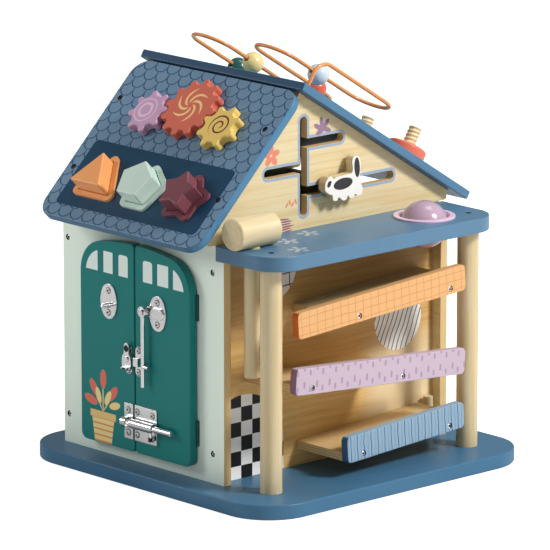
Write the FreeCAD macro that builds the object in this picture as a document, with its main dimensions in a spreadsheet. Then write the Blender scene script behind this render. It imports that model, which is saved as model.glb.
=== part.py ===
import FreeCAD, Part
import math
import os
from FreeCAD import Placement, Rotation, Vector

# Driving sizes in millimetres and degrees. Heights are above the floor unless the name says otherwise.
SIZES = {
    "base_length": 374, "base_width": 372, "base_thick": 15, "base_corner": 52,
    "ply": 9, "seat": 0.1, "edge_round": 0.8,
    "house_length": 243, "house_depth": 306, "house_centre": -31.5,
    "door_lift": 13, "door_height": 213.7, "lintel": 15.3, "wall_height": "=door_lift + door_height + lintel",
    "gable_inset": 12, "blind_inset": 3, "ear_reach": 10.5, "ear_corner": 4, "ear_lift": 0.5,
    "front_roof_angle": 45, "rear_roof_angle": 32, "gable_rise": 151.2,
    "ridge_height": "=base_thick + wall_height + gable_rise", "ridge_offset": -44.3,
    "front_roof_length": 198, "rear_roof_length": 272, "roof_corner": 20, "rear_roof_corner": 2, "ridge_gap": 1.3,
    "screw_head": 3, "screw_head_thick": 1.8, "screw_sink": 1.2, "screw_shank": 1.6, "shank_fit": 0.1,
    "board_round": 1.5, "door_round": 1.2, "gear_bevel": 0.9,
    "wall_screw_low": 45, "wall_screw_drop": 27.6, "wall_screw_edge": 8,
    "roof_screw_edge": 12.5, "roof_screw_top": 49.7, "roof_screw_foot": 60,
    "balcony_depth": 86, "balcony_length": 310, "balcony_thick": 15, "balcony_corner": 30,
    "post_diameter": 22, "post_inset": 27, "front_post_end": 20, "rear_post_end": 20.4,
    "ring_x": 119, "ring_y": 92, "ring_outer": 31.5, "ring_mouth": 26.2, "ring_sleeve": 28.2,
    "ring_lip": 2, "ball_radius": 24.4, "ball_fit": 0.05, "ball_drop": 8,
    "hammer_x": 106.5, "hammer_y": -130.5, "hammer_head_radius": 16.2, "hammer_head_length": 54,
    "hammer_handle_radius": 8.25, "hammer_handle_foot": 126, "hammer_hole_gap": 0.75,
    "ramp_depth": 66.7, "fascia_height": 27, "plank_lift": 1.5, "fascia_corner": 5, "fascia_screw_rise": 6,
    "top_ramp_start": -111.35, "top_ramp_height": 168.35, "top_ramp_angle": 3.7, "top_fascia_length": 229.6,
    "top_plank_offset": 62.5, "top_plank_length": 172, "top_screw_first": 82.7, "top_screw_last": 208.3,
    "middle_ramp_start": -115.9, "middle_ramp_height": 112.4, "middle_ramp_angle": -4,
    "middle_fascia_length": 232.8, "middle_plank_offset": 0, "middle_plank_length": 168.5,
    "middle_screw_first": 22.6, "middle_screw_last": 146.4,
    "bottom_ramp_start": -44.5, "bottom_ramp_height": 30.7, "bottom_ramp_angle": 3.5,
    "bottom_fascia_length": 162, "bottom_plank_offset": 0, "bottom_plank_length": 168,
    "bottom_screw_first": 21.8, "bottom_screw_last": 141.5,
    "stop_peg_radius": 5, "stop_peg_height": 43, "stop_peg_wall_gap": 3, "stop_peg_rear_gap": 8,
    "slot_width": 9.8, "slot_centre_y": -35.5, "slot_low_rise": 12.7, "slot_high_rise": 113.8,
    "upper_branch_rise": 86, "upper_branch_end": 19, "left_branch_rise": 61.7, "left_branch_end": -88.6,
    "lower_branch_rise": 37.3, "lower_branch_end": 88.4,
    "cat_y": 6, "cat_length": 51.5, "cat_thick": 10, "cat_gap": 4, "cat_pin_radius": 4.5, "cat_pin_fit": 0.05,
    "cat_pin_depth": 8, "keeper_disc_radius": 9, "keeper_disc_thick": 3, "keeper_gap": 0.5,
    "gear_module": 5.48, "gear_thick": 9, "gear_gap": 1, "coral_tip": 2.2, "coral_root": 4.3, "side_tip": 3.7,
    "side_root": 2.9, "gear_backlash": 1.2, "gear_pressure": 25, "axle_radius": 4, "axle_fit": 0.05, "axle_depth": 7.5,
    "coral_gear_x": -29.25, "coral_gear_v": 48.4, "side_gear_angle": 15.1,
    "sorter_x": -27.5, "sorter_v": 145.6, "triangle_drop": 4, "sorter_pitch": 63, "sorter_height": 20, "sorter_play": 0.4,
    "sorter_frame_thick": 3, "sorter_frame_width": 6.2, "sorter_frame_gap": 0.7,
    "triangle_side": 45, "pentagon_radius": 22.3, "star_radius": 22.6, "star_waist": 14,
    "block_round": 1.6,
    "door_width": 166, "door_gap": 1.6, "door_stand": 1.7,
    "door_shoulder": 34, "door_crown": 292, "door_corner": 8, "door_lap": 8,
    "hinge_radius": 1.9, "hinge_pin": 0.9, "hinge_pin_fit": 0.05, "hinge_length": 26,
    "hinge_leaf": 6, "hinge_sheet": 0.7, "hinge_low": 62, "hinge_high": 190, "hinge_room": 0.3,
    "plate_sheet": 1.5, "small_screw_head": 2.2, "small_screw_thick": 0.8, "small_screw_shank": 1.1,
    "small_screw_depth": 6,
    "hook_height": 177.5, "hook_left_x": -69.5, "hook_right_x": 4.7, "hook_plate_width": 24.5,
    "hook_plate_height": 36, "hook_screw_pitch": 22.5, "hook_pivot_x": -12.8, "hook_pin": 1.7,
    "hook_pin_fit": 0.05, "hook_ring": 5.6, "hook_rod": 2.2, "hook_length": 78, "hook_stand": 4.2,
    "hook_tip_drop": 8, "hook_housing": 1.6, "staple_width": 12, "staple_wire": 1.5, "staple_reach": 8,
    "turn_height": 123.7, "turn_left_x": -39, "turn_right_x": -24, "turn_plate_width": 9.5,
    "turn_plate_height": 30.5, "turn_screw_pitch": 22.3, "turn_arm_length": 17, "turn_arm_thick": 2.4, "turn_lift": 1.1, "turn_lip_gap": 0.5,
    "turn_lobe": 6.6, "turn_pin": 2, "turn_pin_fit": 0.05,
    "bolt_height": 59.4, "bolt_plate_width": 33, "bolt_plate_height": 36.5, "bolt_keeper_width": 13.3,
    "bolt_rod_radius": 3.2, "bolt_rod_fit": 0.08, "bolt_rod_length": 61, "bolt_barrel_wall": 1.6,
    "bolt_stand": 0.8, "bolt_knob_radius": 2, "bolt_knob_drop": 14, "bolt_loop_width": 7,
    "wire_radius": 2, "wire_height": 33.5, "wire_pitch": 51.5, "wire_right": 72, "wire_bend": 18,
    "wire_foot_low": 150, "wire_foot_high": 22, "wire_turn_hidden": 142, "wire_turn_low": 125, "wire_turn_first": 50,
    "wire_turn_second": 42, "wire_hole_fit": 0.1,
    "bead_radius": 11, "bead_bore": 3.2, "bead_rest": 0.3,
    "grey_bead_v": 76.5, "coral_bead_v": 129, "cream_bead_v": 82.5, "teal_bead_v": 113,
    "peg_radius": 7, "peg_height": 38, "peg_v": 214, "peg_pitch": 70,
    "nut_radius": 20.5, "nut_thick": 14, "nut_fit": 0.08, "nut_round": 3, "nut_raise": 4, "nut_seat": 0.3,
}

doc = FreeCAD.newDocument("activity_house")
sheet = doc.addObject("Spreadsheet::Sheet", "sizes")
for row, (alias, value) in enumerate(SIZES.items(), start=1):
    sheet.set("A%d" % row, alias)
    sheet.set("B%d" % row, str(value))
    sheet.setAlias("B%d" % row, alias)
doc.recompute()

subparts = {}


def size(alias):
    return float(sheet.get(alias))


def keep(label, piece):
    """Name a finished sub-part; its label is the name of its file."""
    piece.Label = label
    subparts[label] = piece
    return piece


# Outlines: lists of lines and arcs that close, drawn on a sketch plane.
def rounded(corners):
    """Straight sides with tangent arcs at the corners, each given as (x, y, radius)."""
    turns = []
    for place, (x, y, radius) in enumerate(corners):
        here = Vector(x, y, 0)
        back = Vector(*corners[place - 1][:2], 0).sub(here).normalize()
        ahead = Vector(*corners[(place + 1) % len(corners)][:2], 0).sub(here).normalize()
        half = back.getAngle(ahead) / 2
        reach = radius / math.tan(half)
        inward = back.add(ahead)
        if radius > 0:
            inward.normalize()
        middle = here + inward * (radius / math.sin(half) - radius)
        turns.append((here + back * reach, middle, here + ahead * reach, radius))
    edges = []
    for place, (start, middle, stop, radius) in enumerate(turns):
        if radius > 0:
            edges.append(Part.Arc(start, middle, stop))
        onward = turns[(place + 1) % len(turns)][0]
        if stop.distanceToPoint(onward) > 1e-6:
            edges.append(Part.LineSegment(stop, onward))
    return edges


def rectangle(left, low, right, high, radius=0.0):
    return rounded([(left, low, radius), (right, low, radius), (right, high, radius), (left, high, radius)])


def circle(x, y, radius):
    return [Part.Circle(Vector(x, y, 0), Vector(0, 0, 1), radius)]


def slot(x1, y1, x2, y2, width):
    """A round-ended slot between two end centres."""
    start, stop, half = Vector(x1, y1, 0), Vector(x2, y2, 0), width / 2
    along = stop.sub(start).normalize()
    across = Vector(-along.y, along.x, 0) * half
    return [
        Part.LineSegment(start - across, stop - across),
        Part.Arc(stop - across, stop + along * half, stop + across),
        Part.LineSegment(stop + across, start + across),
        Part.Arc(start + across, start - along * half, start - across),
    ]


# Makers of document objects. Expressions name cells of the sheet.
def plate(name, outlines, thickness, plane="XY_Plane", level="0", place=None, round_edges=None):
    """A flat piece: closed outlines on one plane of its own body, padded to a thickness."""
    body = doc.addObject("PartDesign::Body", name + "_body")
    origin_plane = [part for part in body.Origin.OriginFeatures if part.Role == plane][0]
    sketch = body.newObject("Sketcher::SketchObject", name + "_outline")
    sketch.AttachmentSupport = [(origin_plane, "")]
    sketch.MapMode = "FlatFace"
    sketch.setExpression("AttachmentOffset.Base.z", level)
    for outline in outlines:
        sketch.addGeometry(outline, False)
    pad = body.newObject("PartDesign::Pad", name + "_pad")
    pad.Profile = sketch
    pad.setExpression("Length", thickness)
    body.Tip = pad
    if round_edges:
        doc.recompute()
        fillet = body.newObject("PartDesign::Fillet", name + "_fillet")
        fillet.Base = (pad, [""])
        fillet.UseAllEdges = True
        fillet.setExpression("Radius", round_edges)
        body.Tip = fillet
    if place is not None:
        body.Placement = place
    return body


def rod(name, radius, height, place):
    """A round bar that stands on its placement's XY plane."""
    bar = doc.addObject("Part::Cylinder", name)
    bar.setExpression("Radius", radius)
    bar.setExpression("Height", height)
    bar.Placement = place
    return bar


def block(name, length, width, height, place):
    box = doc.addObject("Part::Box", name)
    box.setExpression("Length", length)
    box.setExpression("Width", width)
    box.setExpression("Height", height)
    box.Placement = place
    return box


def cut(name, base, tools):
    """The base piece less one tool or several."""
    if len(tools) == 1:
        tool = tools[0]
    else:
        tool = doc.addObject("Part::MultiFuse", name + "_tools")
        tool.Shapes = tools
    piece = doc.addObject("Part::Cut", name)
    piece.Base = base
    piece.Tool = tool
    return piece


def fuse(name, pieces):
    piece = doc.addObject("Part::MultiFuse", name)
    piece.Shapes = pieces
    return piece


def round_off(name, base, radius_name, chosen):
    """Round the base's edges that the test picks."""
    doc.recompute()
    radius = size(radius_name)
    piece = doc.addObject("Part::Fillet", name)
    piece.Base = base
    piece.Edges = [(index, radius, radius) for index, edge in enumerate(base.Shape.Edges, 1) if chosen(edge)]
    return piece


def group(label, shapes):
    """Like pieces of one kind, kept as separate solids in one sub-part."""
    piece = doc.addObject("Part::Feature", label)
    piece.Shape = Part.makeCompound(shapes)
    return keep(label, piece)


def at(x=0.0, y=0.0, z=0.0, rotation=None):
    return Placement(Vector(x, y, z), rotation or Rotation())


def along(x, y, z):
    """Rotation that turns +Z to a direction."""
    return Rotation(Vector(0, 0, 1), Vector(x, y, z))


# Places that the pieces share.
ply = size("ply")
seat = size("seat")
base_top = size("base_thick")
wall_top = base_top + size("wall_height")
house_left = size("house_centre") - size("house_length") / 2
house_right = size("house_centre") + size("house_length") / 2
front_face = -size("house_depth") / 2
rear_face = size("house_depth") / 2
gable_face = house_right - size("gable_inset")
blind_face = house_left + size("blind_inset")
balcony_low = wall_top - size("balcony_thick")
balcony_edge = gable_face + size("balcony_depth")

# Roof planes. A roof frame has its origin on the panel's outer top edge at X = 0, x along X,
# y up or down the slope and z out of the roof.
rear_angle = math.radians(size("rear_roof_angle"))
front_angle = math.radians(size("front_roof_angle"))
rear_out = Vector(0, math.sin(rear_angle), math.cos(rear_angle))
front_out = Vector(0, -math.sin(front_angle), math.cos(front_angle))
rear_origin = Vector(0, size("ridge_offset"), size("ridge_height"))
front_origin = rear_origin - rear_out * (ply + size("ridge_gap"))
rear_frame = Placement(rear_origin, Rotation(Vector(1, 0, 0), -size("rear_roof_angle")))
front_frame = Placement(front_origin, Rotation(Vector(1, 0, 0), size("front_roof_angle")))


def on_front_roof(x, down, out):
    """Placement on the front panel: across, down the slope from its top edge, and out of it."""
    return front_frame.multiply(at(x, -down, out))


def on_rear_roof(x, down, out):
    return rear_frame.multiply(at(x, down, out))


def front_underside(y):
    corner = front_origin - front_out * (ply + seat)
    return corner.z + (y - corner.y) * math.tan(front_angle)


def rear_underside(y):
    corner = rear_origin - rear_out * (ply + seat)
    return corner.z - (y - corner.y) * math.tan(rear_angle)


# Screws: a low round head with its shank in a bored hole.
def screw(place, head, thick, shank, depth):
    body = Part.makeCylinder(head, thick).fuse(Part.makeCylinder(shank, depth, Vector(0, 0, -depth)))
    body = body.removeSplitter()
    body.Placement = place
    return body


def large_screw(place):
    """A screw whose head lies sunk in its pocket. The place is on the board's face."""
    sunk = place.multiply(at(0, 0, -size("screw_sink") - size("screw_head_thick")))
    depth = ply - size("screw_sink") - size("screw_head_thick")
    return screw(sunk, size("screw_head"), size("screw_head_thick"), size("screw_shank"), depth)


def sink_screws(name, board, places):
    """Bore the board for screws at these places, with a pocket for each head, and keep the screws."""
    bores = []
    pocket_depth = size("screw_sink") + size("screw_head_thick")
    for place in places:
        tool = Part.makeCylinder(size("screw_head") + size("shank_fit"), pocket_depth + 1,
                                 Vector(0, 0, -pocket_depth))
        tool = tool.fuse(Part.makeCylinder(size("screw_shank") + size("shank_fit"), 3 * ply,
                                           Vector(0, 0, -2.5 * ply)))
        tool.Placement = place
        bores.append(tool)
        house_screws.append(large_screw(place))
    holes = doc.addObject("Part::Feature", name + "_screw_bores")
    holes.Shape = Part.makeCompound(bores)
    return cut(name + "_bored", board, [holes])


def small_screw(place):
    return screw(place, size("small_screw_head"), size("small_screw_thick"), size("small_screw_shank"),
                 size("small_screw_depth"))


small_bore = size("small_screw_shank") + size("shank_fit")
house_screws = []


# Base board: a thick painted board with round corners.
def make_base():
    half_length, half_width = size("base_length") / 2, size("base_width") / 2
    outline = rectangle(-half_length, -half_width, half_length, half_width, size("base_corner"))
    keep("base_board", plate("base", [outline], "sizes.base_thick", round_edges="sizes.board_round"))


# Door shapes: shoulders and a shallow crown, tangent to each other.
def door_arch(inset):
    """Spring height, shoulder centre and tangent point of the arch, at an inset from the door's edge."""
    half = size("door_width") / 2
    shoulder, crown = size("door_shoulder"), size("door_crown")
    top = base_top + size("door_lift") + size("door_height")
    offset = half - shoulder
    spring = top - crown + math.sqrt((crown - shoulder) ** 2 - offset ** 2)
    lean = math.atan2(spring - (top - crown), offset)
    reach = shoulder - inset
    tangent = (offset + reach * math.cos(lean), spring + reach * math.sin(lean))
    middle = (offset + reach * math.cos(lean / 2), spring + reach * math.sin(lean / 2))
    return half - inset, spring, middle, tangent, top - inset, crown - inset


def door_opening():
    half, spring, middle, tangent, top, crown = door_arch(size("door_lap"))
    low = base_top + size("door_lift") + size("door_lap")
    centre = size("house_centre")

    def spot(x, z):
        return Vector(centre + x, z, 0)

    return [
        Part.LineSegment(spot(-half, low), spot(half, low)),
        Part.LineSegment(spot(half, low), spot(half, spring)),
        Part.Arc(spot(half, spring), spot(*middle), spot(*tangent)),
        Part.Arc(spot(*tangent), spot(0, top), spot(-tangent[0], tangent[1])),
        Part.Arc(spot(-tangent[0], tangent[1]), spot(-middle[0], middle[1]), spot(-half, spring)),
        Part.LineSegment(spot(-half, spring), spot(-half, low)),
    ]


def door_leaf_outline(side):
    """One leaf: side is -1 for the left leaf and 1 for the right."""
    half, spring, middle, tangent, top, crown = door_arch(0)
    low = base_top + size("door_lift")
    centre = size("house_centre")
    inner = size("door_gap") / 2
    corner, small = size("door_corner"), size("door_corner") / 2
    bend = math.sqrt(0.5)

    def crown_height(x):
        return top - crown + math.sqrt(crown ** 2 - x ** 2)

    def spot(x, z):
        return Vector(centre + side * x, z, 0)

    meet = inner + small
    halfway = (meet + tangent[0]) / 2
    return [
        Part.LineSegment(spot(inner + small, low), spot(half - corner, low)),
        Part.Arc(spot(half - corner, low), spot(half - corner * (1 - bend), low + corner * (1 - bend)),
                 spot(half, low + corner)),
        Part.LineSegment(spot(half, low + corner), spot(half, spring)),
        Part.Arc(spot(half, spring), spot(*middle), spot(*tangent)),
        Part.Arc(spot(*tangent), spot(halfway, crown_height(halfway)), spot(meet, crown_height(meet))),
        Part.Arc(spot(meet, crown_height(meet)),
                 spot(inner + small * (1 - bend), crown_height(meet) - small * (1 - bend)),
                 spot(inner, crown_height(meet) - small)),
        Part.LineSegment(spot(inner, crown_height(meet) - small), spot(inner, low + small)),
        Part.Arc(spot(inner, low + small), spot(inner + small * (1 - bend), low + small * (1 - bend)),
                 spot(inner + small, low)),
    ]


# Hinge lines of the two leaves, just in front of the front wall.
hinge_y = front_face - size("door_stand") / 2
door_half = size("door_width") / 2
left_hinge_x = size("house_centre") - door_half
right_hinge_x = size("house_centre") + door_half
door_face = front_face - size("door_stand") - ply
hinge_heights = [size("hinge_low"), size("hinge_high")]


def hinge_pockets(name, radius):
    """Round grooves that give the hinge barrels room."""
    tools = []
    for side, x in (("left", left_hinge_x), ("right", right_hinge_x)):
        for number, height in enumerate(hinge_heights, start=1):
            foot = height - size("hinge_length") / 2 - size("hinge_room")
            tools.append(rod("%s_%s_%d" % (name, side, number), radius,
                             "sizes.hinge_length + 2 * sizes.hinge_room", at(x, hinge_y, foot)))
    return tools


# Walls: plywood panels. The front and rear walls lap the two gable walls and carry the balcony's ends.
def make_front_and_rear_walls():
    screw_x = (gable_face - ply / 2, blind_face + ply / 2)
    screw_z = (size("wall_screw_low"), wall_top - size("wall_screw_drop"))
    outline = rounded([
        (house_left, base_top, 0), (house_right, base_top, 0), (house_right, balcony_low - seat, 0),
        (gable_face, balcony_low - seat, 0), (gable_face, wall_top, 0), (house_left, wall_top, 0),
    ])
    front = plate("front_wall", [outline, door_opening()], "sizes.ply", "XZ_Plane",
                  "sizes.house_depth / 2 - sizes.ply")
    grooves = hinge_pockets("wall_groove", "sizes.hinge_radius + sizes.hinge_room")
    front = cut("front_wall_cut", front, grooves)
    places = [at(x, front_face, z, along(0, -1, 0)) for x in screw_x for z in screw_z]
    keep("front_wall", sink_screws("front_wall", front, places))
    rear = plate("rear_wall", [outline], "sizes.ply", "XZ_Plane", "-sizes.house_depth / 2")
    places = [at(x, rear_face, z, along(0, 1, 0)) for x in screw_x for z in screw_z]
    keep("rear_wall", sink_screws("rear_wall", rear, places))


def gable_outline():
    inner = rear_face - ply - seat
    ear = rear_face + size("ear_reach")
    ear_low = wall_top + size("ear_lift")
    peak_y = ((rear_underside(0) - front_underside(0))
              / (math.tan(front_angle) + math.tan(rear_angle)))
    corner = size("ear_corner")
    return rounded([
        (-inner, base_top, 0), (inner, base_top, 0), (inner, ear_low, 0), (ear, ear_low, corner),
        (ear, rear_underside(ear), 0), (peak_y, rear_underside(peak_y), 0),
        (-ear, front_underside(-ear), 0), (-ear, ear_low, corner), (-inner, ear_low, 0),
    ])


def make_gables():
    keep("left_wall", plate("left_wall", [gable_outline()], "sizes.ply", "YZ_Plane",
                            "sizes.house_centre - sizes.house_length / 2 + sizes.blind_inset"))
    right = plate("right_wall", [gable_outline()], "sizes.ply", "YZ_Plane",
                  "sizes.house_centre + sizes.house_length / 2 - sizes.gable_inset - sizes.ply")
    half = size("slot_width") / 2
    stem = size("slot_centre_y")
    runs = {
        "stem": (stem, wall_top + size("slot_low_rise") + half, stem, wall_top + size("slot_high_rise") - half),
    }
    for name, side in (("upper", -1), ("left", 1), ("lower", -1)):
        level = wall_top + size(name + "_branch_rise")
        runs[name] = (stem, level, size(name + "_branch_end") + side * half, level)
    tools = [plate("slot_" + name, [slot(*run, size("slot_width"))], "3 * sizes.ply", "YZ_Plane",
                   "sizes.house_centre + sizes.house_length / 2 - sizes.gable_inset - 2 * sizes.ply")
             for name, run in runs.items()]
    keep("right_wall", cut("right_wall_cut", right, tools))


# Sorter shapes on the front roof: each outline is centred on its own place.
def ring_of_points(count, radius, start=90.0, waist=None):
    """Corners of a regular polygon, or of a star where a waist radius is given."""
    steps = count if waist is None else 2 * count
    corners = []
    for step in range(steps):
        reach = radius if waist is None or step % 2 == 0 else waist
        turn = math.radians(start + 360.0 * step / steps)
        corners.append(Vector(reach * math.cos(turn), reach * math.sin(turn), 0))
    return corners


sorter_shapes = {
    "triangle": (-1, ring_of_points(3, size("triangle_side") / math.sqrt(3))),
    "pentagon": (0, ring_of_points(5, size("pentagon_radius"))),
    "star": (1, ring_of_points(5, size("star_radius"), 90.0, size("star_waist"))),
}


def sorter_place(step, out):
    """Place of a sorting shape. The triangle is centred a little lower than the others."""
    down = size("sorter_v") + (size("triangle_drop") if step < 0 else 0)
    return on_front_roof(size("sorter_x") + step * size("sorter_pitch"), down, out)


def outline_wire(corners):
    return Part.makePolygon(corners + [corners[0]])


def flat_ring(outer, inner, thick):
    return Part.Face([outer]).cut(Part.Face([inner])).extrude(Vector(0, 0, thick))


def make_sorter():
    for name, (step, corners) in sorter_shapes.items():
        wire = outline_wire(corners)
        outer = wire.makeOffset2D(size("sorter_frame_width"))
        inner = wire.makeOffset2D(size("sorter_frame_gap"))
        frame = doc.addObject("Part::Feature", name + "_frame")
        frame.Shape = flat_ring(outer, inner, size("sorter_frame_thick"))
        frame.Placement = sorter_place(step, 0)
        keep(name + "_frame", frame)
        edges = [Part.LineSegment(a, b) for a, b in zip(corners, corners[1:] + corners[:1])]
        keep(name + "_block", plate(name, [edges], "sizes.sorter_height + sizes.ply",
                                    place=sorter_place(step, -ply), round_edges="sizes.block_round"))


# Gears: involute flanks as arcs through three points, with round tips and round valleys.
coral_teeth, side_teeth = 12, 8


def gear_outline(teeth, kind, phase):
    """Closed outline of a gear whose first tooth points along the phase angle, in degrees."""
    pitch = size("gear_module") * teeth / 2
    tip = pitch + size(kind + "_tip")
    root = pitch - size(kind + "_root")
    pressure = math.radians(size("gear_pressure"))
    base_radius = pitch * math.cos(pressure)
    start = max(base_radius, root + 1.5)
    shoulder = tip - 1.6
    flank_turn = math.tan(pressure) - pressure
    half_tooth = (math.pi * size("gear_module") / 2 - size("gear_backlash")) / 2 / pitch
    edges = []

    def polar(radius, angle):
        return Vector(radius * math.cos(angle), radius * math.sin(angle), 0)

    def mirrored(radius, middle_angle):
        """Flank points on both sides of a tooth's middle line."""
        roll = math.sqrt(max(radius ** 2 / base_radius ** 2 - 1, 0))
        spread = half_tooth + flank_turn - (roll - math.atan(roll))
        return polar(radius, middle_angle - spread), polar(radius, middle_angle + spread)

    for tooth in range(teeth):
        middle_angle = math.radians(phase) + 2 * math.pi * tooth / teeth
        next_angle = middle_angle + 2 * math.pi / teeth
        low_before, low_after = mirrored(start, middle_angle)
        mid_before, mid_after = mirrored((start + shoulder) / 2, middle_angle)
        high_before, high_after = mirrored(shoulder, middle_angle)
        next_low = mirrored(start, next_angle)[0]
        edges += [
            Part.Arc(low_before, mid_before, high_before),
            Part.Arc(high_before, polar(tip, middle_angle), high_after),
            Part.Arc(high_after, mid_after, low_after),
            Part.Arc(low_after, polar(root, (middle_angle + next_angle) / 2), next_low),
        ]
    return edges


gear_reach = size("gear_module") * (coral_teeth + side_teeth) / 2
gear_lean = math.radians(size("side_gear_angle"))
gear_places = {
    "coral_gear": (size("coral_gear_x"), size("coral_gear_v"), coral_teeth),
    "lilac_gear": (size("coral_gear_x") - gear_reach * math.cos(gear_lean),
                   size("coral_gear_v") + gear_reach * math.sin(gear_lean), side_teeth),
    "yellow_gear": (size("coral_gear_x") + gear_reach * math.cos(gear_lean),
                    size("coral_gear_v") + gear_reach * math.sin(gear_lean), side_teeth),
}
# The coral gear turns a valley to the lilac gear's tooth on the line between the two centres.
lilac_line = -180 + size("side_gear_angle")
yellow_line = -size("side_gear_angle")
coral_phase = lilac_line + 180.0 / coral_teeth


def side_gear_phase(line):
    """Phase of a side gear in mesh with the coral gear, along a line from the coral gear's centre."""
    turns = (line - coral_phase) / (360.0 / coral_teeth)
    fraction = turns - math.floor(turns)
    return line + 180 + 180.0 / side_teeth + fraction * 360.0 / side_teeth


gear_phases = {"coral_gear": ("coral", coral_phase), "lilac_gear": ("side", side_gear_phase(lilac_line)),
               "yellow_gear": ("side", side_gear_phase(yellow_line))}


def gear_blank(outline):
    """A gear's solid disc, with a bevel round its outer face."""
    bevel = size("gear_bevel")
    straight = size("gear_thick") - bevel
    wire = Part.Wire([edge.toShape() for edge in outline])
    shoulder, rim = wire.copy(), wire.makeOffset2D(-bevel)
    shoulder.translate(Vector(0, 0, straight))
    rim.translate(Vector(0, 0, size("gear_thick")))
    disc = Part.Face(wire).extrude(Vector(0, 0, straight))
    return disc.fuse(Part.makeLoft([shoulder, rim], True, True))


def make_gears():
    axles = []
    for name, (x, down, teeth) in gear_places.items():
        blank = doc.addObject("Part::Feature", name + "_blank")
        blank.Shape = gear_blank(gear_outline(teeth, *gear_phases[name]))
        blank.Placement = on_front_roof(x, down, size("gear_gap"))
        bore_tool = rod(name + "_bore", "sizes.axle_radius + sizes.axle_fit", "sizes.axle_depth",
                        on_front_roof(x, down, size("gear_gap")))
        keep(name, cut(name + "_cut", blank, [bore_tool]))
        axle = Part.makeCylinder(size("axle_radius"), ply + size("gear_gap") + size("axle_depth") - 2 * seat)
        axle.Placement = on_front_roof(x, down, -ply)
        axles.append(axle)
    group("gear_axles", axles)


# Roof panels: thick painted boards, the rear one lapping over the front one's top edge.
def panel_outline(low_y, high_y, corner):
    return rectangle(house_left, low_y, house_right, high_y, corner)


roof_screw_x = (gable_face - 2.5, blind_face + ply - 1.5)


def make_roof():
    down_front = (size("roof_screw_top"), size("front_roof_length") - size("roof_screw_foot"))
    front = plate("front_panel", [panel_outline(-size("front_roof_length"), 0, size("roof_corner"))], "sizes.ply",
                  level="-sizes.ply", place=front_frame, round_edges="sizes.board_round")
    tools = [rod(name + "_axle_hole", "sizes.axle_radius + sizes.shank_fit", "2 * sizes.ply",
                 on_front_roof(x, down, -1.5 * ply)) for name, (x, down, teeth) in gear_places.items()]
    for name, (step, corners) in sorter_shapes.items():
        tool = doc.addObject("Part::Feature", name + "_window")
        face = Part.Face(outline_wire(corners).makeOffset2D(size("sorter_play")))
        tool.Shape = face.extrude(Vector(0, 0, 3 * ply))
        tool.Placement = sorter_place(step, -2 * ply)
        tools.append(tool)
    front = cut("front_panel_cut", front, tools)
    keep("roof_front_panel", sink_screws("front_panel", front, [
        on_front_roof(x, down, 0) for x in roof_screw_x for down in down_front]))

    down_rear = (size("roof_screw_top"), size("rear_roof_length") - size("roof_screw_foot") / 2)
    rear = plate("rear_panel", [panel_outline(0, size("rear_roof_length"), size("rear_roof_corner"))], "sizes.ply",
                 level="-sizes.ply", place=rear_frame, round_edges="sizes.board_round")
    tools = [rod("peg_hole_%d" % number, "sizes.peg_radius + sizes.shank_fit", "2 * sizes.ply",
                 on_rear_roof(x, size("peg_v"), -1.5 * ply)) for number, x in enumerate(peg_columns)]
    tools += [rod("wire_hole_%d" % number, "sizes.wire_radius + sizes.wire_hole_fit", "2 * sizes.ply",
                  on_rear_roof(x, down, -1.5 * ply)) for number, (x, down) in enumerate(wire_feet)]
    rear = cut("rear_panel_cut", rear, tools)
    keep("roof_rear_panel", sink_screws("rear_panel", rear, [
        on_rear_roof(x, down, 0) for x in roof_screw_x for down in down_rear]))


# Threaded pegs with round nuts, in a row near the rear eave.
peg_columns = [size("house_centre") + size("peg_pitch") * step for step in (1, 0, -1)]


def make_pegs():
    pegs = []
    for number, x in enumerate(peg_columns, start=1):
        bar = rod("peg_%d" % number, "sizes.peg_radius", "sizes.ply + sizes.peg_height",
                  on_rear_roof(x, size("peg_v"), -ply))
        pegs.append(round_off("peg_round_%d" % number, bar, "edge_round", lambda edge: edge.Closed))
    doc.recompute()
    group("roof_pegs", [peg.Shape for peg in pegs])
    raises = (size("nut_raise"), size("nut_seat"), size("nut_seat"))
    for name, x, lift in zip(("coral_nut", "yellow_nut", "teal_nut"), peg_columns, raises):
        place = on_rear_roof(x, size("peg_v"), lift)
        disc = rod(name + "_disc", "sizes.nut_radius", "sizes.nut_thick", place)
        shaped = round_off(name + "_round", disc, "nut_round", lambda edge: edge.Closed)
        tool = rod(name + "_bore", "sizes.peg_radius + sizes.nut_fit", "sizes.nut_thick", place)
        keep(name, cut(name + "_cut", shaped, [tool]))


# Bead wire: one painted wire that winds across the rear roof at a steady height, with both feet in it.
wire_columns = [size("wire_right") - size("wire_pitch") * step for step in range(5)]
wire_feet = [(wire_columns[4], size("wire_foot_low")), (wire_columns[0], size("wire_foot_high"))]


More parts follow.
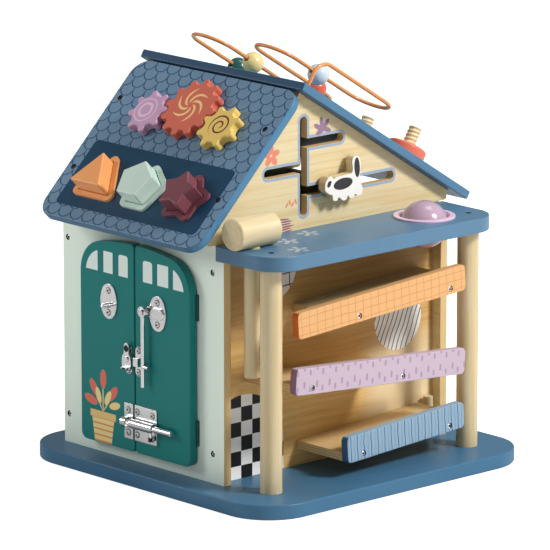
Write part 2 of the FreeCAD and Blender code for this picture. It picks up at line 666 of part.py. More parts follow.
def make_bead_wire():
    """The path is drawn in the rear roof's frame: across, down the slope, out of the roof."""
    high = size("wire_height")
    bend = size("wire_bend")
    knee = bend * math.sqrt(0.5)
    half = size("wire_pitch") / 2
    low_foot, high_foot = size("wire_foot_low"), size("wire_foot_high")
    turns = [size("wire_turn_first"), size("wire_turn_hidden"), size("wire_turn_second"),
             size("wire_turn_low")]
    columns = wire_columns[::-1]

    edges = [Part.LineSegment(Vector(columns[0], low_foot, -ply), Vector(columns[0], low_foot, high - bend)),
             Part.Arc(Vector(columns[0], low_foot, high - bend),
                      Vector(columns[0], low_foot - bend + knee, high - bend + knee),
                      Vector(columns[0], low_foot - bend, high))]
    position = low_foot - bend
    for step, turn in enumerate(turns):
        sign = -1 if step % 2 == 0 else 1
        here, there = columns[step], columns[step + 1]
        edges.append(Part.LineSegment(Vector(here, position, high), Vector(here, turn, high)))
        edges.append(Part.Arc(Vector(here, turn, high), Vector((here + there) / 2, turn + sign * half, high),
                              Vector(there, turn, high)))
        position = turn
    last = columns[4]
    edges += [Part.LineSegment(Vector(last, position, high), Vector(last, high_foot + bend, high)),
              Part.Arc(Vector(last, high_foot + bend, high), Vector(last, high_foot + bend - knee,
                                                                   high - bend + knee),
                       Vector(last, high_foot, high - bend)),
              Part.LineSegment(Vector(last, high_foot, high - bend), Vector(last, high_foot, -ply))]
    path = Part.Wire([edge.toShape() for edge in edges])
    section = Part.Wire([Part.makeCircle(size("wire_radius"), Vector(columns[0], low_foot, -ply))])
    wire = doc.addObject("Part::Feature", "bead_wire")
    wire.Shape = path.makePipeShell([section], True, False)
    wire.Placement = rear_frame
    keep("bead_wire", wire)


def make_beads():
    """A bead hangs on its wire, so its bore's top rests on the wire."""
    sag = size("bead_bore") - size("wire_radius") - size("bead_rest")
    beads = {"grey_bead": (1, size("grey_bead_v")), "coral_bead": (2, size("coral_bead_v")),
             "cream_bead": (3, size("cream_bead_v")), "teal_bead": (4, size("teal_bead_v"))}
    for name, (column, down) in beads.items():
        place = on_rear_roof(wire_columns[column], down, size("wire_height") - sag)
        ball = doc.addObject("Part::Sphere", name + "_ball")
        ball.setExpression("Radius", "sizes.bead_radius")
        ball.Placement = place
        tool = rod(name + "_bore", "sizes.bead_bore", "2 * sizes.bead_radius",
                   place.multiply(at(0, -size("bead_radius"), 0, along(0, 1, 0))))
        keep(name, cut(name + "_cut", ball, [tool]))


# Balcony: a thick board on two posts, with a ring for the ball and a hole for the hammer.
def make_balcony():
    front_end = front_face
    rear_end = front_face + size("balcony_length")
    corner = size("balcony_corner")
    post_x = balcony_edge - size("post_inset")
    post_ends = (front_end + size("front_post_end"), rear_end - size("rear_post_end"))
    outline = rounded([(gable_face, front_end, 0), (balcony_edge, front_end, corner),
                       (balcony_edge, rear_end, corner), (gable_face, rear_end, 0)])
    holes = [circle(size("ring_x"), size("ring_y"), size("ring_sleeve") + seat),
             circle(size("hammer_x"), size("hammer_y"),
                    size("hammer_handle_radius") + size("hammer_hole_gap"))]
    board = plate("balcony", [outline] + holes, "sizes.balcony_thick",
                  level="sizes.base_thick + sizes.wall_height - sizes.balcony_thick",
                  round_edges="sizes.edge_round")
    keep("balcony_board", sink_screws("balcony", board, [at(post_x, y, wall_top) for y in post_ends]))
    posts = [rod("post_%d" % number, "sizes.post_diameter / 2", "sizes.wall_height - sizes.balcony_thick",
                 at(post_x, y, base_top)) for number, y in enumerate(post_ends, start=1)]
    doc.recompute()
    group("balcony_posts", [post.Shape for post in posts])


def make_ball_ring():
    """A flanged ring let into the board, whose waist holds the ball by friction."""
    place = at(size("ring_x"), size("ring_y"), balcony_low)
    sleeve = rod("ring_sleeve", "sizes.ring_sleeve", "sizes.balcony_thick", place)
    flange = rod("ring_flange", "sizes.ring_outer", "sizes.ring_lip",
                 at(size("ring_x"), size("ring_y"), wall_top))
    rim = round_off("ring_flange_round", flange, "edge_round", lambda edge: edge.Closed
                    and edge.CenterOfMass.z > wall_top + size("ring_lip") / 2)
    waist = rod("ring_waist", "sizes.ball_radius + sizes.ball_fit", "sizes.balcony_thick + sizes.ring_lip", place)
    mouth = doc.addObject("Part::Cone", "ring_mouth_cone")
    mouth.setExpression("Radius1", "sizes.ball_radius + sizes.ball_fit")
    mouth.setExpression("Radius2", "sizes.ring_mouth")
    mouth.setExpression("Height", "sizes.ring_lip")
    mouth.Placement = at(size("ring_x"), size("ring_y"), wall_top)
    keep("ball_ring", cut("ball_ring_cut", fuse("ball_ring_body", [sleeve, rim]), [waist, mouth]))
    ball = doc.addObject("Part::Sphere", "ball_sphere")
    ball.setExpression("Radius", "sizes.ball_radius")
    ball.Placement = at(size("ring_x"), size("ring_y"), wall_top - size("ball_drop"))
    keep("ball", ball)


def make_hammer():
    """A turned head that lies across the board, with its handle down through the hole."""
    x, y, radius = size("hammer_x"), size("hammer_y"), size("hammer_head_radius")
    axis_height = wall_top + seat + radius
    head = rod("hammer_head_bar", "sizes.hammer_head_radius", "sizes.hammer_head_length",
               at(x, y - size("hammer_head_length") / 2, axis_height, along(0, 1, 0)))
    shaped = round_off("hammer_head_round", head, "nut_round", lambda edge: edge.Closed)
    socket = rod("hammer_socket", "sizes.hammer_handle_radius + sizes.seat", "sizes.hammer_head_radius",
                 at(x, y, axis_height - radius))
    keep("hammer_head", cut("hammer_head_cut", shaped, [socket]))
    handle = rod("hammer_handle_bar", "sizes.hammer_handle_radius",
                 "sizes.base_thick + sizes.wall_height + sizes.hammer_head_radius"
                 " - sizes.hammer_handle_foot - sizes.seat", at(x, y, size("hammer_handle_foot")))
    keep("hammer_handle", round_off("hammer_handle_round", handle, "edge_round", lambda edge: edge.Closed))


# Ball run: three sloping planks between the gable and painted fascias.
def make_ramp(name):
    start, height = size(name + "_ramp_start"), size(name + "_ramp_height")
    frame = Placement(Vector(gable_face, start, height), Rotation(Vector(1, 0, 0), size(name + "_ramp_angle")))
    length = size(name + "_fascia_length")
    offset = size(name + "_plank_offset")
    depth = size("ramp_depth")
    rise = size("fascia_screw_rise")
    outline = rectangle(0, 0, length, size("fascia_height"), size("fascia_corner"))
    fascia = plate(name + "_fascia", [outline], "sizes.ply", "YZ_Plane", "sizes.ramp_depth", frame,
                   "sizes.edge_round")
    keep(name + "_fascia", sink_screws(name + "_fascia", fascia, [
        frame.multiply(at(depth + ply, size(name + end), rise, along(1, 0, 0)))
        for end in ("_screw_first", "_screw_last")]))
    board = rectangle(seat, offset, depth - seat, offset + size(name + "_plank_length"), 0)
    keep(name + "_plank", plate(name + "_plank", [board], "sizes.ply", "XY_Plane", "sizes.plank_lift",
                                frame, "sizes.edge_round"))


def make_ball_run():
    for name in ("top", "middle", "bottom"):
        make_ramp(name)
    radius = size("stop_peg_radius")
    peg = rod("stop_peg", "sizes.stop_peg_radius", "sizes.stop_peg_height",
              at(gable_face + size("stop_peg_wall_gap") + radius,
                 rear_face - ply - size("stop_peg_rear_gap") - radius, base_top))
    keep("ramp_stop_peg", round_off("stop_peg_round", peg, "edge_round", lambda edge: edge.Closed))


# Cat slider: a plywood cat on a pin that runs in the gable's lower slot.
def make_cat():
    y, z = size("cat_y"), wall_top + size("lower_branch_rise")
    # Outline of a low cat with its tail up, about its pin, as (y, z, corner radius).
    figure = [(-20.5, 13.6, 0.8), (-24.6, 8.4, 3), (-25, 0.6, 3), (-19.4, -3.6, 3), (-14.6, -5.4, 2),
              (-14.2, -11.6, 3), (-8.2, -11.8, 2.5), (-6.4, -8, 1.2), (-3.4, -10.4, 1), (-0.8, -13, 2.5),
              (4.6, -12.4, 2.4), (6.4, -7.4, 0.8), (8.4, -11.8, 2.4), (14.2, -11.8, 2.8), (16.4, -7, 1.2),
              (18.6, -10.8, 2.6), (25.4, -10.4, 3), (26.9, -4, 3), (24, 2, 3), (22.6, 8.4, 8),
              (23.8, 20, 6), (22.6, 30, 5), (12.4, 30.4, 4.2), (11.8, 24, 4), (13.2, 18, 3), (12, 13.6, 2),
              (-10.6, 12.4, 2), (-12.8, 10.4, 1.2), (-16.6, 14.8, 1)]
    scale = size("cat_length") / 51.5
    outline = rounded([(y + dy * scale, z + dz * scale, radius * scale) for dy, dz, radius in figure])
    shape = plate("cat", [outline], "sizes.cat_thick", "YZ_Plane",
                  "sizes.house_centre + sizes.house_length / 2 - sizes.gable_inset + sizes.cat_gap",
                  round_edges="sizes.edge_round / 2")
    socket = rod("cat_socket", "sizes.cat_pin_radius / 2 + sizes.cat_pin_fit", "sizes.cat_pin_depth",
                 at(gable_face + size("cat_gap"), y, z, along(1, 0, 0)))
    keep("cat_figure", cut("cat_cut", shape, [socket]))
    inside = gable_face - ply - size("keeper_gap") - size("keeper_disc_thick")
    disc = rod("keeper_disc", "sizes.keeper_disc_radius", "sizes.keeper_disc_thick",
               at(inside, y, z, along(1, 0, 0)))
    shank = rod("cat_shank", "sizes.cat_pin_radius",
                "sizes.keeper_disc_thick + sizes.keeper_gap + sizes.ply + sizes.cat_gap - 2 * sizes.seat",
                at(inside, y, z, along(1, 0, 0)))
    spigot = rod("cat_spigot", "sizes.cat_pin_radius / 2",
                 "sizes.keeper_disc_thick + sizes.keeper_gap + sizes.ply + sizes.cat_gap"
                 " + sizes.cat_pin_depth - 2 * sizes.seat", at(inside, y, z, along(1, 0, 0)))
    keep("cat_pin", fuse("cat_pin_body", [disc, shank, spigot]))


# Doors: two painted leaves with plated hardware.
def make_doors():
    screws = {"left": [], "right": []}
    plates = {"left": [], "right": []}
    pitch = size("hook_screw_pitch") / 2
    for x, side in ((size("hook_left_x"), "left"), (size("hook_right_x"), "right")):
        screws[side] += [(x, size("hook_height") + pitch), (x, size("hook_height") - pitch)]
    pitch = size("turn_screw_pitch") / 2
    for x, side in ((size("turn_left_x"), "left"), (size("turn_right_x"), "right")):
        screws[side] += [(x, size("turn_height") + pitch), (x, size("turn_height") - pitch)]
    bolt_rise = size("bolt_plate_height") / 2 - 6.5
    for sign in (1, -1):
        screws["left"].append((keeper_x, size("bolt_height") + sign * bolt_rise))
        for x in (bolt_left + 4, bolt_left + size("bolt_plate_width") - 6):
            screws["right"].append((x, size("bolt_height") + sign * bolt_rise))
    face = door_face - size("plate_sheet")
    grooves = hinge_pockets("door_groove", "sizes.hinge_radius + sizes.hinge_room")
    for side, sign in (("left", -1), ("right", 1)):
        holes = [circle(x, z, small_bore) for x, z in screws[side]]
        leaf = plate(side + "_leaf", [door_leaf_outline(sign)] + holes, "sizes.ply", "XZ_Plane",
                     "sizes.house_depth / 2 + sizes.door_stand")
        tools = [tool for tool in grooves if side in tool.Name]
        shaped = round_off(side + "_leaf_round", leaf, "door_round", lambda edge: (
            edge.BoundBox.YLength < 1e-4 and edge.CenterOfMass.y < door_face + 0.1 and not edge.Closed))
        keep(side + "_door", cut(side + "_door_cut", shaped, tools))
        plates[side] = [small_screw(at(x, face, z, along(0, -1, 0))) for x, z in screws[side]]
        group(side + "_door_screws", plates[side])


bolt_left = size("house_centre") + size("door_gap") / 2 + 0.3
keeper_x = size("house_centre") - size("door_gap") / 2 - 0.7 - size("bolt_keeper_width") / 2


def hinge_half(x, foot, side, wall_side):
    """Half a butt hinge: a barrel with its leaf, on the wall's face or on the back of the door."""
    radius, length = size("hinge_radius"), size("hinge_length") / 2 - size("hinge_room") / 2
    inward = 1 if side == "left" else -1
    sheet_thick = size("hinge_sheet")
    width = size("hinge_leaf")
    near = size("hinge_pin") + 0.4
    barrel = Part.makeCylinder(radius, length, Vector(x, hinge_y, foot))
    back = front_face - sheet_thick if wall_side else front_face - size("door_stand")
    corner_x = x + near if inward > 0 else x - near - width
    leaf = Part.makeBox(width, sheet_thick, length, Vector(corner_x, back, foot))
    hole = Part.makeCylinder(size("hinge_pin") + size("hinge_pin_fit"), length, Vector(x, hinge_y, foot))
    return barrel.fuse(leaf).cut(hole)


def make_hinges():
    wall_halves, pins = [], []
    door_halves = {"left": [], "right": []}
    length = size("hinge_length")
    for side, x in (("left", left_hinge_x), ("right", right_hinge_x)):
        for height in hinge_heights:
            foot = height - length / 2
            middle = height + size("hinge_room") / 2
            wall_halves.append(hinge_half(x, foot, side, True))
            door_halves[side].append(hinge_half(x, middle, side, False))
            pins.append(Part.makeCylinder(size("hinge_pin"), length, Vector(x, hinge_y, foot)))
    group("hinge_wall_leaves", wall_halves)
    group("hinge_pins", pins)
    group("left_hinge_leaves", door_halves["left"])
    group("right_hinge_leaves", door_halves["right"])


# Hardware plates lie on the doors' outer faces.
def sheet_plate(name, outline, holes):
    return plate(name, [outline] + [circle(x, z, small_bore) for x, z in holes], "sizes.plate_sheet",
                 "XZ_Plane", "sizes.house_depth / 2 + sizes.door_stand + sizes.ply")


def oval(x, z, width, height):
    """An oval of four tangent-looking arcs through its ends and sides."""
    half_w, half_h = width / 2, height / 2
    return [
        Part.Arc(Vector(x + half_w * 0.8, z - half_h * 0.6, 0), Vector(x + half_w, z, 0),
                 Vector(x + half_w * 0.8, z + half_h * 0.6, 0)),
        Part.Arc(Vector(x + half_w * 0.8, z + half_h * 0.6, 0), Vector(x, z + half_h, 0),
                 Vector(x - half_w * 0.8, z + half_h * 0.6, 0)),
        Part.Arc(Vector(x - half_w * 0.8, z + half_h * 0.6, 0), Vector(x - half_w, z, 0),
                 Vector(x - half_w * 0.8, z - half_h * 0.6, 0)),
        Part.Arc(Vector(x - half_w * 0.8, z - half_h * 0.6, 0), Vector(x, z - half_h, 0),
                 Vector(x + half_w * 0.8, z - half_h * 0.6, 0)),
    ]


plate_face = door_face - size("plate_sheet")
hook_y = plate_face - size("hook_stand")


def make_hook():
    z = size("hook_height")
    width, height = size("hook_plate_width"), size("hook_plate_height")
    left_x, right_x, pivot_x = size("hook_left_x"), size("hook_right_x"), size("hook_pivot_x")
    pitch = size("hook_screw_pitch") / 2
    left = sheet_plate("hook_left_sheet", oval(left_x, z, width, height),
                       [(left_x, z + pitch), (left_x, z - pitch)])
    # Staple: a wire arch whose hole is upright, for the hook's tip. The latched hook lies on it.
    staple_z = z - size("hook_rod") - size("staple_wire") - size("seat")
    staple_half = size("staple_width") / 2 - size("staple_wire")
    reach = size("staple_reach")
    arch = [Part.LineSegment(Vector(left_x - staple_half, door_face, staple_z),
                             Vector(left_x - staple_half, plate_face - reach + staple_half, staple_z)),
            Part.Arc(Vector(left_x - staple_half, plate_face - reach + staple_half, staple_z),
                     Vector(left_x, plate_face - reach, staple_z),
                     Vector(left_x + staple_half, plate_face - reach + staple_half, staple_z)),
            Part.LineSegment(Vector(left_x + staple_half, plate_face - reach + staple_half, staple_z),
                             Vector(left_x + staple_half, door_face, staple_z))]
    path = Part.Wire([edge.toShape() for edge in arch])
    ring = Part.Wire([Part.makeCircle(size("staple_wire"), Vector(left_x - staple_half, door_face, staple_z),
                                      Vector(0, 1, 0))])
    staple = doc.addObject("Part::Feature", "staple")
    staple.Shape = path.makePipeShell([ring], True, False)
    keep("hook_eye_plate", fuse("hook_eye_body", [left, staple]))

    right = sheet_plate("hook_right_sheet", oval(right_x, z, width, height),
                        [(right_x, z + pitch), (right_x, z - pitch)])
    tab = plate("hook_tab", [slot(pivot_x, z, right_x, z, 10)], "sizes.plate_sheet", "XZ_Plane",
                "sizes.house_depth / 2 + sizes.door_stand + sizes.ply")
    housing = plate("hook_housing", [slot(right_x - 4, z, right_x + 4, z, 12)], "sizes.plate_sheet + sizes.hook_housing",
                    "XZ_Plane", "sizes.house_depth / 2 + sizes.door_stand + sizes.ply",
                    round_edges="sizes.edge_round")
    pin = rod("hook_pin", "sizes.hook_pin", "sizes.plate_sheet + sizes.hook_stand + sizes.hook_rod + 1",
              at(pivot_x, door_face, z, along(0, -1, 0)))
    stop = rod("hook_pin_head", "sizes.hook_pin + 1.3", "1",
               at(pivot_x, hook_y - size("hook_rod") - 0.3, z, along(0, -1, 0)))
    collar = rod("hook_pin_collar", "sizes.hook_pin + 1.3",
                 "sizes.plate_sheet + sizes.hook_stand - sizes.hook_rod - 0.3",
                 at(pivot_x, door_face, z, along(0, -1, 0)))
    keep("hook_plate", fuse("hook_plate_body", [right, tab, housing, pin, stop, collar]))

    # The hook hangs from its pin, undone. Its tip then points to the right.
    rod_radius = size("hook_rod")
    eye = rod("hook_eye", "sizes.hook_ring", "1.8 * sizes.hook_rod",
              at(pivot_x, hook_y + 0.9 * rod_radius, z, along(0, -1, 0)))
    shaft = rod("hook_shaft", "sizes.hook_rod", "sizes.hook_length", at(pivot_x, hook_y, z, along(0, 0, -1)))
    shaft_round = round_off("hook_shaft_round", shaft, "edge_round", lambda edge: edge.Closed)
    tip = rod("hook_tip", "0.85 * sizes.hook_rod", "sizes.hook_tip_drop",
              at(pivot_x, hook_y, z - (pivot_x - left_x), along(1, 0, 0)))
    hole = rod("hook_bore", "sizes.hook_pin + sizes.hook_pin_fit", "4 * sizes.hook_rod",
               at(pivot_x, hook_y + 2 * rod_radius, z, along(0, -1, 0)))
    keep("hook_bar", cut("hook_bar_cut", fuse("hook_bar_body", [eye, shaft_round, tip]), [hole]))


def make_turn_latch():
    """A turn arm on the left leaf and its catch on the right, undone: the arm points up."""
    z = size("turn_height")
    left_x, right_x = size("turn_left_x"), size("turn_right_x")
    half = size("turn_plate_height") / 2 - size("turn_plate_width") / 2
    pitch = size("turn_screw_pitch") / 2
    left = sheet_plate("turn_left_sheet", slot(left_x, z - half, left_x, z + half, size("turn_plate_width")),
                       [(left_x, z + pitch), (left_x, z - pitch)])
    thick = size("turn_arm_thick")
    lift, gap = size("turn_lift"), size("turn_lip_gap")
    collar = rod("turn_collar", "sizes.turn_pin + 1.2", "sizes.plate_sheet + sizes.turn_lift - 0.1",
                 at(left_x, door_face, z, along(0, -1, 0)))
    pin = rod("turn_pin", "sizes.turn_pin", "sizes.plate_sheet + sizes.turn_lift + sizes.turn_arm_thick + 1",
              at(left_x, door_face, z, along(0, -1, 0)))
    head = rod("turn_pin_head", "sizes.turn_pin + 1.2", "1",
               at(left_x, plate_face - lift - thick - 0.2, z, along(0, -1, 0)))
    keep("turn_latch_plate", fuse("turn_plate_body", [left, collar, pin, head]))

    level = "sizes.house_depth / 2 + sizes.door_stand + sizes.ply + sizes.plate_sheet + sizes.turn_lift"
    arm = plate("turn_arm", [slot(left_x, z, left_x, z + size("turn_arm_length") - 3.5, 7)],
                "sizes.turn_arm_thick", "XZ_Plane", level)
    lobe = plate("turn_lobe", [slot(left_x, z - 5, left_x, z, 2 * size("turn_lobe"))], "sizes.turn_arm_thick",
                 "XZ_Plane", level)
    grip = plate("turn_grip", [slot(left_x - 3, z - 8.5, left_x + 3, z - 8.5, 2.6)],
                 "sizes.turn_arm_thick + 3.5", "XZ_Plane", level)
    hole = rod("turn_bore", "sizes.turn_pin + sizes.turn_pin_fit", "3 * sizes.turn_arm_thick",
               at(left_x, plate_face, z, along(0, -1, 0)))
    keep("turn_latch_arm", cut("turn_arm_cut", fuse("turn_arm_body", [arm, lobe, grip]), [hole]))

    right = sheet_plate("turn_right_sheet",
                        slot(right_x, z - half, right_x, z + half, size("turn_plate_width")),
                        [(right_x, z + pitch), (right_x, z - pitch)])
    lip_y = plate_face - lift - thick - gap - 1.4
    wall = block("catch_wall", "1.4", "sizes.turn_lift + sizes.turn_arm_thick + sizes.turn_lip_gap + 1.4 + 0.5",
                 "9", at(right_x + 3, lip_y, z - 4.5))
    lip = block("catch_lip", "7", "1.4", "9", at(right_x - 2.6, lip_y, z - 4.5))
    keep("turn_latch_catch", fuse("turn_catch_body", [right, wall, lip]))


def make_bolt():
    """A barrel bolt drawn back, with its keeper on the left leaf."""
    z = size("bolt_height")
    height = size("bolt_plate_height") / 2
    width = size("bolt_plate_width")
    rise = height - 6.5
    radius = size("bolt_rod_radius")
    outer = radius + size("bolt_rod_fit") + size("bolt_barrel_wall")
    axis_y = plate_face - size("bolt_stand") - outer + size("bolt_barrel_wall")
    right = bolt_left + width
    sheet_part = sheet_plate("bolt_sheet", rectangle(bolt_left, z - height, right, z + height, 1.2),
                             [(x, z + sign * rise) for x in (bolt_left + 4, right - 6) for sign in (1, -1)])
    barrel = rod("bolt_barrel", "sizes.bolt_rod_radius + sizes.bolt_rod_fit + sizes.bolt_barrel_wall",
                 "sizes.bolt_plate_width", at(bolt_left, axis_y, z, along(1, 0, 0)))
    web = block("bolt_web", "sizes.bolt_plate_width", "sizes.bolt_rod_radius", "2 * sizes.bolt_rod_radius",
                at(bolt_left, plate_face - radius, z - radius))
    hollow = rod("bolt_hollow", "sizes.bolt_rod_radius + sizes.bolt_rod_fit", "sizes.bolt_plate_width",
                 at(bolt_left, axis_y, z, along(1, 0, 0)))
    knob_room = 2 * size("bolt_knob_radius") + 0.8
    track = plate("bolt_track", [rectangle(bolt_left, axis_y - knob_room / 2, right, axis_y + knob_room / 2)],
                  "2 * sizes.bolt_rod_radius", level="sizes.bolt_height - 2 * sizes.bolt_rod_radius - 3")
    keep("bolt_plate", cut("bolt_plate_cut", fuse("bolt_plate_body", [sheet_part, barrel, web]),
                           [hollow, track]))

    keeper_half = size("bolt_keeper_width") / 2
    keeper = sheet_plate("keeper_sheet", rectangle(keeper_x - keeper_half, z - height,
                                                   keeper_x + keeper_half, z + height, 1.2),
                         [(keeper_x, z + rise), (keeper_x, z - rise)])
    loop_left = keeper_x - size("bolt_loop_width") / 2
    loop = rod("keeper_loop", "sizes.bolt_rod_radius + sizes.bolt_rod_fit + sizes.bolt_barrel_wall + 0.5",
               "sizes.bolt_loop_width", at(loop_left, axis_y, z, along(1, 0, 0)))
    foot = block("keeper_foot", "sizes.bolt_loop_width", "sizes.bolt_rod_radius + sizes.bolt_stand",
                 "2 * sizes.bolt_rod_radius + 4", at(loop_left, plate_face - radius - size("bolt_stand"),
                                                     z - radius - 2))
    eye = rod("keeper_eye", "sizes.bolt_rod_radius + sizes.bolt_rod_fit + 0.5", "sizes.bolt_loop_width",
              at(loop_left, axis_y, z, along(1, 0, 0)))
    keep("bolt_keeper", cut("bolt_keeper_cut", fuse("bolt_keeper_body", [keeper, loop, foot]), [eye]))

    shaft = rod("bolt_shaft", "sizes.bolt_rod_radius", "sizes.bolt_rod_length",
                at(bolt_left, axis_y, z, along(1, 0, 0)))
    keep("bolt_rod", round_off("bolt_shaft_round", shaft, "edge_round", lambda edge: edge.Closed))
    knob = rod("knob_stem", "sizes.bolt_knob_radius", "sizes.bolt_knob_drop - sizes.bolt_rod_radius - sizes.seat",
               at(bolt_left + width - 5, axis_y, z - radius - seat, along(0, 0, -1)))
    keep("bolt_knob", round_off("knob_round", knob, "edge_round", lambda edge: edge.Closed))


make_base()
make_front_and_rear_walls()
make_gables()
make_gears()
make_sorter()
make_roof()
make_pegs()
make_bead_wire()
make_beads()
make_balcony()
make_ball_ring()
make_hammer()
make_ball_run()
make_cat()
make_doors()
make_hinges()
make_hook()
make_turn_latch()
make_bolt()
group("house_screws", house_screws)
doc.recompute()

failed = [item.Name for item in doc.Objects if "Invalid" in item.State or "Error" in item.State]
if failed:
    raise RuntimeError("these failed: %s" % failed)
os.makedirs("parts", exist_ok=True)
for label, piece in subparts.items():
    shape = piece.Shape
    if shape.isNull() or not shape.isValid():
        raise RuntimeError("%s has no valid shape" % label)
    shape.exportStep("parts/%s.step" % label)
    box = shape.BoundBox
    print("%-20s solids %2d volume %10.1f  x %.1f..%.1f  y %.1f..%.1f  z %.1f..%.1f" % (
        label, len(shape.Solids), shape.Volume, box.XMin, box.XMax, box.YMin, box.YMax, box.ZMin, box.ZMax))
print("sub-parts:", len(subparts))
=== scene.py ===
import functools
import math

import bpy
from mathutils import Matrix, Vector


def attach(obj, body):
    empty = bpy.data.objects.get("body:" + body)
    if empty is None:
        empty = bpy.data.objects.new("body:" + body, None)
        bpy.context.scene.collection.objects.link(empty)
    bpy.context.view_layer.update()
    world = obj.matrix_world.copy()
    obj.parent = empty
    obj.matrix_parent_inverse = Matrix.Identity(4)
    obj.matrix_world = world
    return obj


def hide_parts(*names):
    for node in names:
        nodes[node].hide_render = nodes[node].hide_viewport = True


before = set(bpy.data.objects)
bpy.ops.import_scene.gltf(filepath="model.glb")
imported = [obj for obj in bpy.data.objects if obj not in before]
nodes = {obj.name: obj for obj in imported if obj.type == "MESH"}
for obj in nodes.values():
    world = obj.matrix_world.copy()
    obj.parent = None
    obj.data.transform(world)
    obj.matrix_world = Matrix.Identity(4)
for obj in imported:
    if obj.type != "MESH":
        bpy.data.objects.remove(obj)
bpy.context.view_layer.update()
scene = bpy.context.scene

# The studio: a long lens looking down a little at the corner between the doors and the ball run,
# a pale floor, and large soft lamps to the left, to the right and overhead.
scene.view_settings.view_transform = "Standard"
camera = bpy.data.objects.new("camera", bpy.data.cameras.new("camera"))
scene.collection.objects.link(camera)
camera.data.sensor_width = 36
camera.data.lens = 364.16
camera.data.clip_end = 60
camera.location = (4.0443, -3.7103, 1.4635)
look = Vector((-0.0321, 0.0271, 0.1809)) - camera.location
camera.rotation_euler = look.to_track_quat("-Z", "Y").to_euler()
scene.camera = camera


def softbox(name, place, width, watts, tone):
    """A square soft lamp aimed at the middle of the house."""
    lamp = bpy.data.objects.new(name, bpy.data.lights.new(name, "AREA"))
    scene.collection.objects.link(lamp)
    lamp.data.size = width
    lamp.data.energy = watts
    lamp.data.color = tone
    lamp.location = place
    aim = Vector((0, 0, 0.2)) - lamp.location
    lamp.rotation_euler = aim.to_track_quat("-Z", "Y").to_euler()


softbox("left_softbox", (-0.9, -1.0, 0.75), 0.5, 6.6, (1, 0.99, 0.98))
softbox("right_softbox", (2.1, 1.0, 2.1), 0.6, 88, (1, 0.98, 0.96))
softbox("top_softbox", (0.3, 0.9, 2.6), 1.0, 11, (0.98, 0.99, 1))


def tint(hex_colour):
    """Linear colour of an sRGB hex value."""
    parts = [int(hex_colour[place:place + 2], 16) / 255 for place in (1, 3, 5)]
    linear = [part / 12.92 if part <= 0.04045 else ((part + 0.055) / 1.055) ** 2.4 for part in parts]
    return tuple(linear) + (1,)


class Signal:
    """A socket of a node tree. Arithmetic on it adds the Math nodes that work it out."""

    def __init__(self, tree, socket):
        self.tree, self.socket = tree, socket

    def math(self, operation, *others, clamp=False):
        settings = {"operation": operation, "use_clamp": clamp}
        return add_node(self.tree, "ShaderNodeMath", settings, [self, *others])

    def at_least(self, other):
        return self.math("MAXIMUM", other)

    def at_most(self, other):
        return self.math("MINIMUM", other)

    def clamped(self):
        """Held between 0 and 1."""
        return self.math("MULTIPLY", 1.0, clamp=True)

    def __add__(self, other):
        return self.math("ADD", other)

    def __sub__(self, other):
        return self.math("SUBTRACT", other)

    def __mul__(self, other):
        return self.math("MULTIPLY", other)

    def __truediv__(self, other):
        return self.math("DIVIDE", other)

    def __rsub__(self, other):
        return add_node(self.tree, "ShaderNodeMath", {"operation": "SUBTRACT"}, [other, self])

    def __rtruediv__(self, other):
        return add_node(self.tree, "ShaderNodeMath", {"operation": "DIVIDE"}, [other, self])

    def __abs__(self):
        return self.math("ABSOLUTE")

    def __mod__(self, other):
        return self.math("FLOORED_MODULO", other)

    __radd__, __rmul__ = __add__, __mul__


def add_node(tree, kind, settings=None, inputs=(), output=0):
    """Adds a node: its settings first, then its sockets by position, name or identifier."""
    made = tree.nodes.new(kind)
    for name, value in (settings or {}).items():
        setattr(made, name, value)
    for key, value in (inputs.items() if isinstance(inputs, dict) else enumerate(inputs)):
        if isinstance(key, int):
            socket = made.inputs[key]
        else:
            socket = [found for found in made.inputs if key in (found.identifier, found.name)][0]
        if isinstance(value, Signal):
            tree.links.new(value.socket, socket)
        elif value is not None:
            socket.default_value = value
    if isinstance(output, (list, tuple)):
        return [Signal(tree, made.outputs[name]) for name in output]
    return Signal(tree, made.outputs[output]) if len(made.outputs) else made


def new_material(name):
    material = bpy.data.materials.new(name)
    material.use_nodes = True
    material.node_tree.nodes.clear()
    return material, material.node_tree


def mix(factor, first, second):
    """Colour between two, at a factor from 0 to 1."""
    tree = next(part.tree for part in (factor, first, second) if isinstance(part, Signal))
    return add_node(tree, "ShaderNodeMix", {"data_type": "RGBA"},
                    {"Factor_Float": factor, "A_Color": first, "B_Color": second}, "Result")


# The camera sees the floor and the world as plain white. Glossy surfaces see a floor of light and dark
# patches, so that bright metal and gloss have something to show.
FLOOR_SHADE = 0.8
WHITE = (1, 1, 1, 1)
material, tree = new_material("studio_floor")
path = add_node(tree, "ShaderNodeLightPath",
                output=["Is Camera Ray", "Is Transmission Ray", "Is Glossy Ray"])
seen = path[0].at_least(path[1])
spot = add_node(tree, "ShaderNodeTexCoord", output="Object")
east, north = add_node(tree, "ShaderNodeSeparateXYZ", {}, [spot], ["X", "Y"])
patches = add_node(tree, "ShaderNodeTexNoise", {}, {"Vector": spot, "Scale": 8.0, "Detail": 1.0})
card = ((east + north) * 0.12 + FLOOR_SHADE + (patches - 0.5) * 2.6).clamped() * 0.95 + 0.05
shade = path[2] * (card - FLOOR_SHADE) + FLOOR_SHADE
shade = add_node(tree, "ShaderNodeCombineXYZ", {}, [shade, shade, shade], "Vector")
plain = add_node(tree, "ShaderNodeBsdfDiffuse", {}, {"Color": shade}, "BSDF")
glow = add_node(tree, "ShaderNodeEmission", {}, {"Color": WHITE, "Strength": seen * FLOOR_SHADE},
                "Emission")
both = add_node(tree, "ShaderNodeAddShader", {}, [plain, glow], "Shader")
add_node(tree, "ShaderNodeOutputMaterial", {}, {"Surface": both})
bpy.ops.mesh.primitive_plane_add(size=40, location=(0, 0, -0.0005))
floor = bpy.context.object
floor.name = "studio_floor"
floor.data.materials.append(material)

